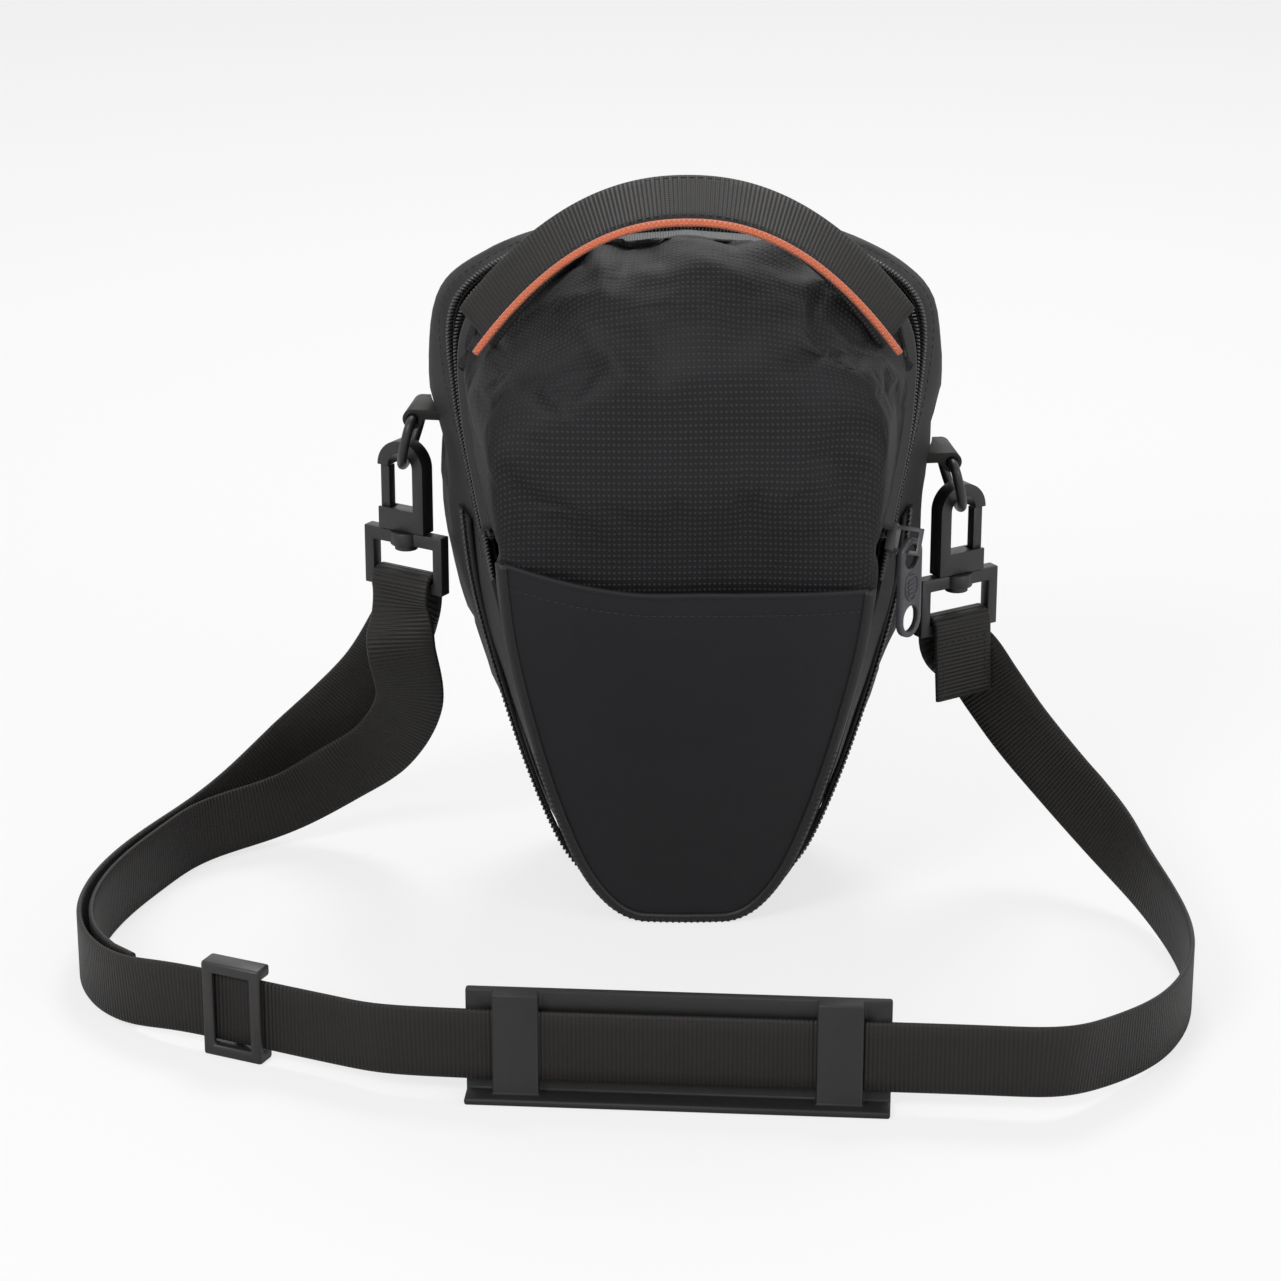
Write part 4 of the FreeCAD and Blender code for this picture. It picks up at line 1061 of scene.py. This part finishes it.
# ---------------------------------------------------------------------------------------
# Shoulder strap
# ---------------------------------------------------------------------------------------
class BAG_OT_strap(bpy.types.Operator):
    """The shoulder strap: one length of webbing through both hooks and its buckle."""
    bl_idname = "bag.build_strap"
    bl_label = "Shoulder strap"
    FACE_RIGHT = math.radians(32)
    SEW_HALF = 9.5           # half width of the box sewn at the strap's first end

    def wrap(self, side):
        """Points and facings round the lower bar of a hook's eye, front to back."""
        low, high = BOXES[f"swivel_eye_{side}"]
        centre = (low + high) / 2
        turn = self.FACE_RIGHT * (1 if side == "right" else -1)
        back = np.array([-math.sin(turn), math.cos(turn), 0])
        bar = np.array([centre[0], centre[1], low[2] + 2.0])
        stations = []
        for angle in np.radians(np.linspace(0, 180, 9)):
            out = -math.cos(angle) * back + np.array([0, 0, math.sin(angle)])
            stations.append((bar + out * 4.6, -out))
        return stations

    def stations(self, sizes):
        edge = sizes.webbing / 2
        right = self.wrap("right")
        left = self.wrap("left")[::-1]
        tab = [(right[0][0] + [1.0, -1.2, -26], right[0][1]),
               (right[0][0] + [0.4, -0.6, -13], right[0][1])]
        rise = [(right[-1][0] + [0.6, 0.8, -8], right[-1][1])]
        rise += [(point, (0.15, 1, 0.1)) for point in
                 ((106, 27, 78), (113, 24, 68), (124, 16, 54), (138, 3, 40), (152, -14, 28))]
        rise += [((162, -32, 19), (0.55, 0.8, 0.1)), ((169, -54, 14.5), (0.9, 0.35, 0))]
        floor = [(173, -80, edge), (172, -106, edge), (166, -130, edge),
                 (154, -153, edge + 1), (136, -172, edge + 3)]
        floor += [np.array(PAD_MID) + np.array(PAD_ALONG) * reach for reach in (122, 90, -80)]
        floor += [np.array(GLIDE_MID) + np.array(GLIDE_ALONG) * reach
                  for reach in (40, 0, -26)]
        far = [(-190, -121, edge + 1), (-204, -103, edge), (-211, -80, edge),
               (-211, -55, edge), (-205, -29, edge), (-195, -4, edge), (-182, 20, edge + 1),
               (-166, 38, edge + 8)]
        climb = [((-148, 48, 34), (0.2, -1, -0.1)), ((-130, 48, 50), (0, -1, 0)),
                 ((-115, 42, 68), (0, -1, 0)), ((-105, 35, 86), (-0.2, -1, 0)),
                 (left[0][0] + [-0.6, 1.0, -8], left[0][1])]
        drop = [(left[-1][0] + [0, -0.6, -8], left[-1][1]), ((-103, 12, 88), (0, 1, 0)),
                ((-101, 20, 64), (0, 1, 0)), ((-112, 31, 42), (0, 1, 0)),
                ((-131, 38, 27), (-0.1, 1, 0)), ((-150, 34, 17), (-0.5, 1, 0))]
        far_points = np.array(far, float)
        along = unit(np.gradient(far_points, axis=0))
        inner = far_points + np.cross(along, [0, 0, 1]) * (sizes.webbing_thick + 2.2)
        lay = [(point, None) for point in floor + far]
        home = [(point, None) for point in inner[-2::-1]]
        return tab + right + rise + lay + climb + left + drop + home

    def execute(self, context):
        sizes = context.scene.bag_sizes
        stations = self.stations(sizes)
        points = np.array([point for point, _ in stations], float)
        along = unit(np.gradient(points, axis=0))
        facing = np.array([np.cross(t, [0, 0, 1]) if n is None else n
                           for t, (_, n) in zip(along, stations)], float)
        facing = unit(facing - along * np.sum(facing * along, axis=1, keepdims=True))
        for i in range(1, len(facing)):
            if facing[i] @ facing[i - 1] < 0:
                facing[i] *= -1
        both = smooth_path(np.hstack([points, facing * 40]), 900)
        low = both[:, 2] < 34
        low[:8] = low[-8:] = False
        for _ in range(60):
            mean = (np.roll(both, 1, axis=0) + np.roll(both, -1, axis=0)) / 2
            both[low] += 0.5 * (mean[low] - both[low])
        centres, normals = both[:, :3], unit(both[:, 3:])
        run = run_lengths(centres)
        strap = sweep("shoulder_strap_webbing", centres, normals,
                      band_profile(sizes.webbing, sizes.webbing_thick, 6), "webbing")
        across = np.cross(unit(np.gradient(centres, axis=0)), normals)
        sewn = (run > 3) & (run < 23)
        rows = [(centres[sewn] + across[sewn] * self.SEW_HALF * side - normals[sewn] * 1.1,
                 -normals[sewn]) for side in (-1, 1)]
        for reach in (4.0, 22.0):
            spot = int(np.argmin(np.abs(run - reach)))
            steps = np.linspace(-self.SEW_HALF, self.SEW_HALF, 20)[:, None]
            row = centres[spot] + steps * across[spot]
            rows.append((row - normals[spot] * 1.1, np.tile(-normals[spot], (20, 1))))
        beads("strap_stitches", rows, 2.6, (1.9, 0.5, 0.4), "thread", "bag", "webbing")
        finish_piece(strap, "bag", "webbing", "shoulder_strap")
        return {"FINISHED"}


# ---------------------------------------------------------------------------------------
# Hooks, rings, buckle, pad, slider and inside pieces
# ---------------------------------------------------------------------------------------
class BAG_OT_fittings(bpy.types.Operator):
    """Rounded and finished hard pieces, inside and outside."""
    bl_idname = "bag.build_fittings"
    bl_label = "Fittings"
    PULLER_TURN = math.radians(52)

    def ridges(self):
        """A raised oval with curved grip ridges on the puller's face."""
        low, high = BOXES["zip_puller"]
        across = np.array([math.cos(self.PULLER_TURN), math.sin(self.PULLER_TURN), 0])
        out = np.array([math.sin(self.PULLER_TURN), -math.cos(self.PULLER_TURN), 0])
        upward = np.array([0.0, 0.0, 1.0])
        middle = (low + high) / 2 + out * 1.1 + upward * 0.6
        turns = np.linspace(0, 2 * math.pi, 36, endpoint=False)
        oval = (middle + np.cos(turns)[:, None] * across * 3.6
                + np.sin(turns)[:, None] * upward * 5.0)
        rings = [sweep("puller_oval", oval, np.tile(out, (36, 1)),
                       round_profile(0.4, 1.0, 8), "painted_metal", loop=True)]
        sides = np.linspace(-1, 1, 11)
        for number in range(5):
            rise = (number - 2) * 1.7
            ridge = (middle + sides[:, None] * across * 2.2
                     + (rise + 0.6 * (1 - sides ** 2))[:, None] * upward)
            rings.append(sweep(f"puller_ridge_{number}", ridge, np.tile(out, (11, 1)),
                               round_profile(0.42, 1.0, 8), "painted_metal"))
        for ring in rings:
            finish_piece(ring, "puller", "painted_metal")

    def execute(self, context):
        # Node, body, bevel in mm, material.
        pieces = []
        for side in ("left", "right"):
            pieces += [(f"hook_{side}", f"hook_{side}", 0.9, "moulded_plastic"),
                       (f"hook_gate_{side}", f"gate_{side}", 0.5, "moulded_plastic"),
                       (f"swivel_eye_{side}", "bag", 0.9, "moulded_plastic"),
                       (f"d_ring_{side}", f"ring_{side}", 0.1, "moulded_plastic"),
                       (f"ring_tab_{side}", "bag", 0.4, "webbing")]
        pieces += [("tri_glide", "tri_glide", 0.9, "moulded_plastic"),
                   ("shoulder_pad", "pad", 0.8, "pad_rubber"),
                   ("zip_slider", "slider", 0.4, "painted_metal"),
                   ("zip_puller", "puller", 0.5, "painted_metal"),
                   ("base_cushion", "bag", 2.5, "lining_cloth"),
                   ("base_board", "bag", 0.4, "stiff_board")]
        for node, body, bevel, material in pieces:
            finish_piece(softened(node, bevel, material), body, material)
        self.ridges()
        return {"FINISHED"}


# ---------------------------------------------------------------------------------------
# Stage
# ---------------------------------------------------------------------------------------
class BAG_OT_stage(bpy.types.Operator):
    """Pale floor, soft studio light and the camera."""
    bl_idname = "bag.build_stage"
    bl_label = "Stage"

    def light(self, name, place, aim, size, energy):
        lamp = bpy.data.lights.new(name, "AREA")
        lamp.shape, lamp.size, lamp.energy = "DISK", size, energy
        obj = bpy.data.objects.new(name, lamp)
        obj.location = place
        obj.rotation_euler = (Vector(aim) - Vector(place)).to_track_quat("-Z", "Y").to_euler()
        bpy.context.scene.collection.objects.link(obj)

    def paint_floor(self, scene):
        floor = bpy.data.materials.new("floor_paper")
        floor.use_nodes = True
        tree = floor.node_tree
        shader = tree.nodes["Principled BSDF"]
        shader.inputs["Base Color"].default_value = (0.85, 0.85, 0.85, 1)
        shader.inputs["Roughness"].default_value = 0.9
        path = tree.nodes.new("ShaderNodeLightPath")
        glow = tree.nodes.new("ShaderNodeEmission")
        glow.inputs["Strength"].default_value = 1.0
        mix = tree.nodes.new("ShaderNodeMixShader")
        part = tree.nodes.new("ShaderNodeMath")
        part.operation = "MULTIPLY"
        part.inputs[1].default_value = 0.72
        tree.links.new(path.outputs["Is Camera Ray"], part.inputs[0])
        tree.links.new(part.outputs[0], mix.inputs[0])
        tree.links.new(shader.outputs[0], mix.inputs[1])
        tree.links.new(glow.outputs[0], mix.inputs[2])
        tree.links.new(mix.outputs[0], tree.nodes["Material Output"].inputs["Surface"])
        return floor

    def execute(self, context):
        scene = context.scene
        scene.view_settings.view_transform = "Standard"
        mesh = bpy.data.meshes.new("floor")
        mesh.from_pydata([(-6, -6, 0), (6, -6, 0), (6, 6, 0), (-6, 6, 0)], [], [(0, 1, 2, 3)])
        mesh.materials.append(self.paint_floor(scene))
        floor = bpy.data.objects.new("floor", mesh)
        scene.collection.objects.link(floor)

        world = bpy.data.worlds.new("studio")
        scene.world = world
        world.use_nodes = True
        tree = world.node_tree
        background = tree.nodes["Background"]
        background.inputs["Color"].default_value = (1, 1, 1, 1)
        path = tree.nodes.new("ShaderNodeLightPath")
        seen = tree.nodes.new("ShaderNodeMath")
        seen.operation = "MAXIMUM"
        tree.links.new(path.outputs["Is Camera Ray"], seen.inputs[0])
        tree.links.new(path.outputs["Is Glossy Ray"], seen.inputs[1])
        level = tree.nodes.new("ShaderNodeMapRange")
        level.inputs["To Min"].default_value = 0.42
        level.inputs["To Max"].default_value = 1.0
        tree.links.new(seen.outputs[0], level.inputs["Value"])
        tree.links.new(level.outputs["Result"], background.inputs["Strength"])

        self.light("key", (-0.9, -1.3, 1.2), (0, 0, 0.12), 0.7, 15)
        self.light("fill", (1.3, -1.0, 0.6), (0, 0, 0.10), 0.8, 6)
        self.light("top", (0.1, 0.9, 1.5), (0, 0, 0.15), 0.6, 12)

        camera = bpy.data.cameras.new("camera")
        camera.lens = 107.8
        camera.clip_end = 30
        view = bpy.data.objects.new("camera", camera)
        view.location = (-0.016, -1.297, 0.567)
        aim = Vector((-0.016, 0, 0.095)) - view.location
        view.rotation_euler = aim.to_track_quat("-Z", "Y").to_euler()
        scene.collection.objects.link(view)
        scene.camera = view
        return {"FINISHED"}


class BAG_OT_finishes(bpy.types.Operator):
    """Materials of the fabrics, webbing, plastic, metal and rubber."""
    bl_idname = "bag.make_finishes"
    bl_label = "Finishes"

    def execute(self, context):
        MATERIALS.update(make_materials(context))
        return {"FINISHED"}


class BAG_PT_parts(bpy.types.Panel):
    """Buttons for every group of pieces, and the sizes and colours they use."""
    bl_idname = "BAG_PT_parts"
    bl_label = "Camera Bag"
    bl_space_type = "VIEW_3D"
    bl_region_type = "UI"
    bl_category = "Camera Bag"

    def draw(self, context):
        for operator in OPERATORS:
            self.layout.operator(operator.bl_idname)
        for group in (context.scene.bag_sizes, context.scene.bag_colours):
            for name in group.bl_rna.properties.keys():
                if name not in ("rna_type", "name"):
                    self.layout.prop(group, name)


OPERATORS = (BAG_OT_finishes, BAG_OT_stage, BAG_OT_front, BAG_OT_gusset, BAG_OT_pocket,
             BAG_OT_zips, BAG_OT_handle, BAG_OT_strap, BAG_OT_fittings)
CLASSES = (BagSizes, BagColours) + OPERATORS + (BAG_PT_parts,)


def register():
    for cls in CLASSES:
        bpy.utils.register_class(cls)
    bpy.types.Scene.bag_sizes = bpy.props.PointerProperty(type=BagSizes)
    bpy.types.Scene.bag_colours = bpy.props.PointerProperty(type=BagColours)


def unregister():
    del bpy.types.Scene.bag_sizes
    del bpy.types.Scene.bag_colours
    for cls in reversed(CLASSES):
        bpy.utils.unregister_class(cls)


def main():
    register()
    for operator in OPERATORS:
        group, name = operator.bl_idname.split(".")
        getattr(getattr(bpy.ops, group), name)()


if __name__ == "__main__":
    main()
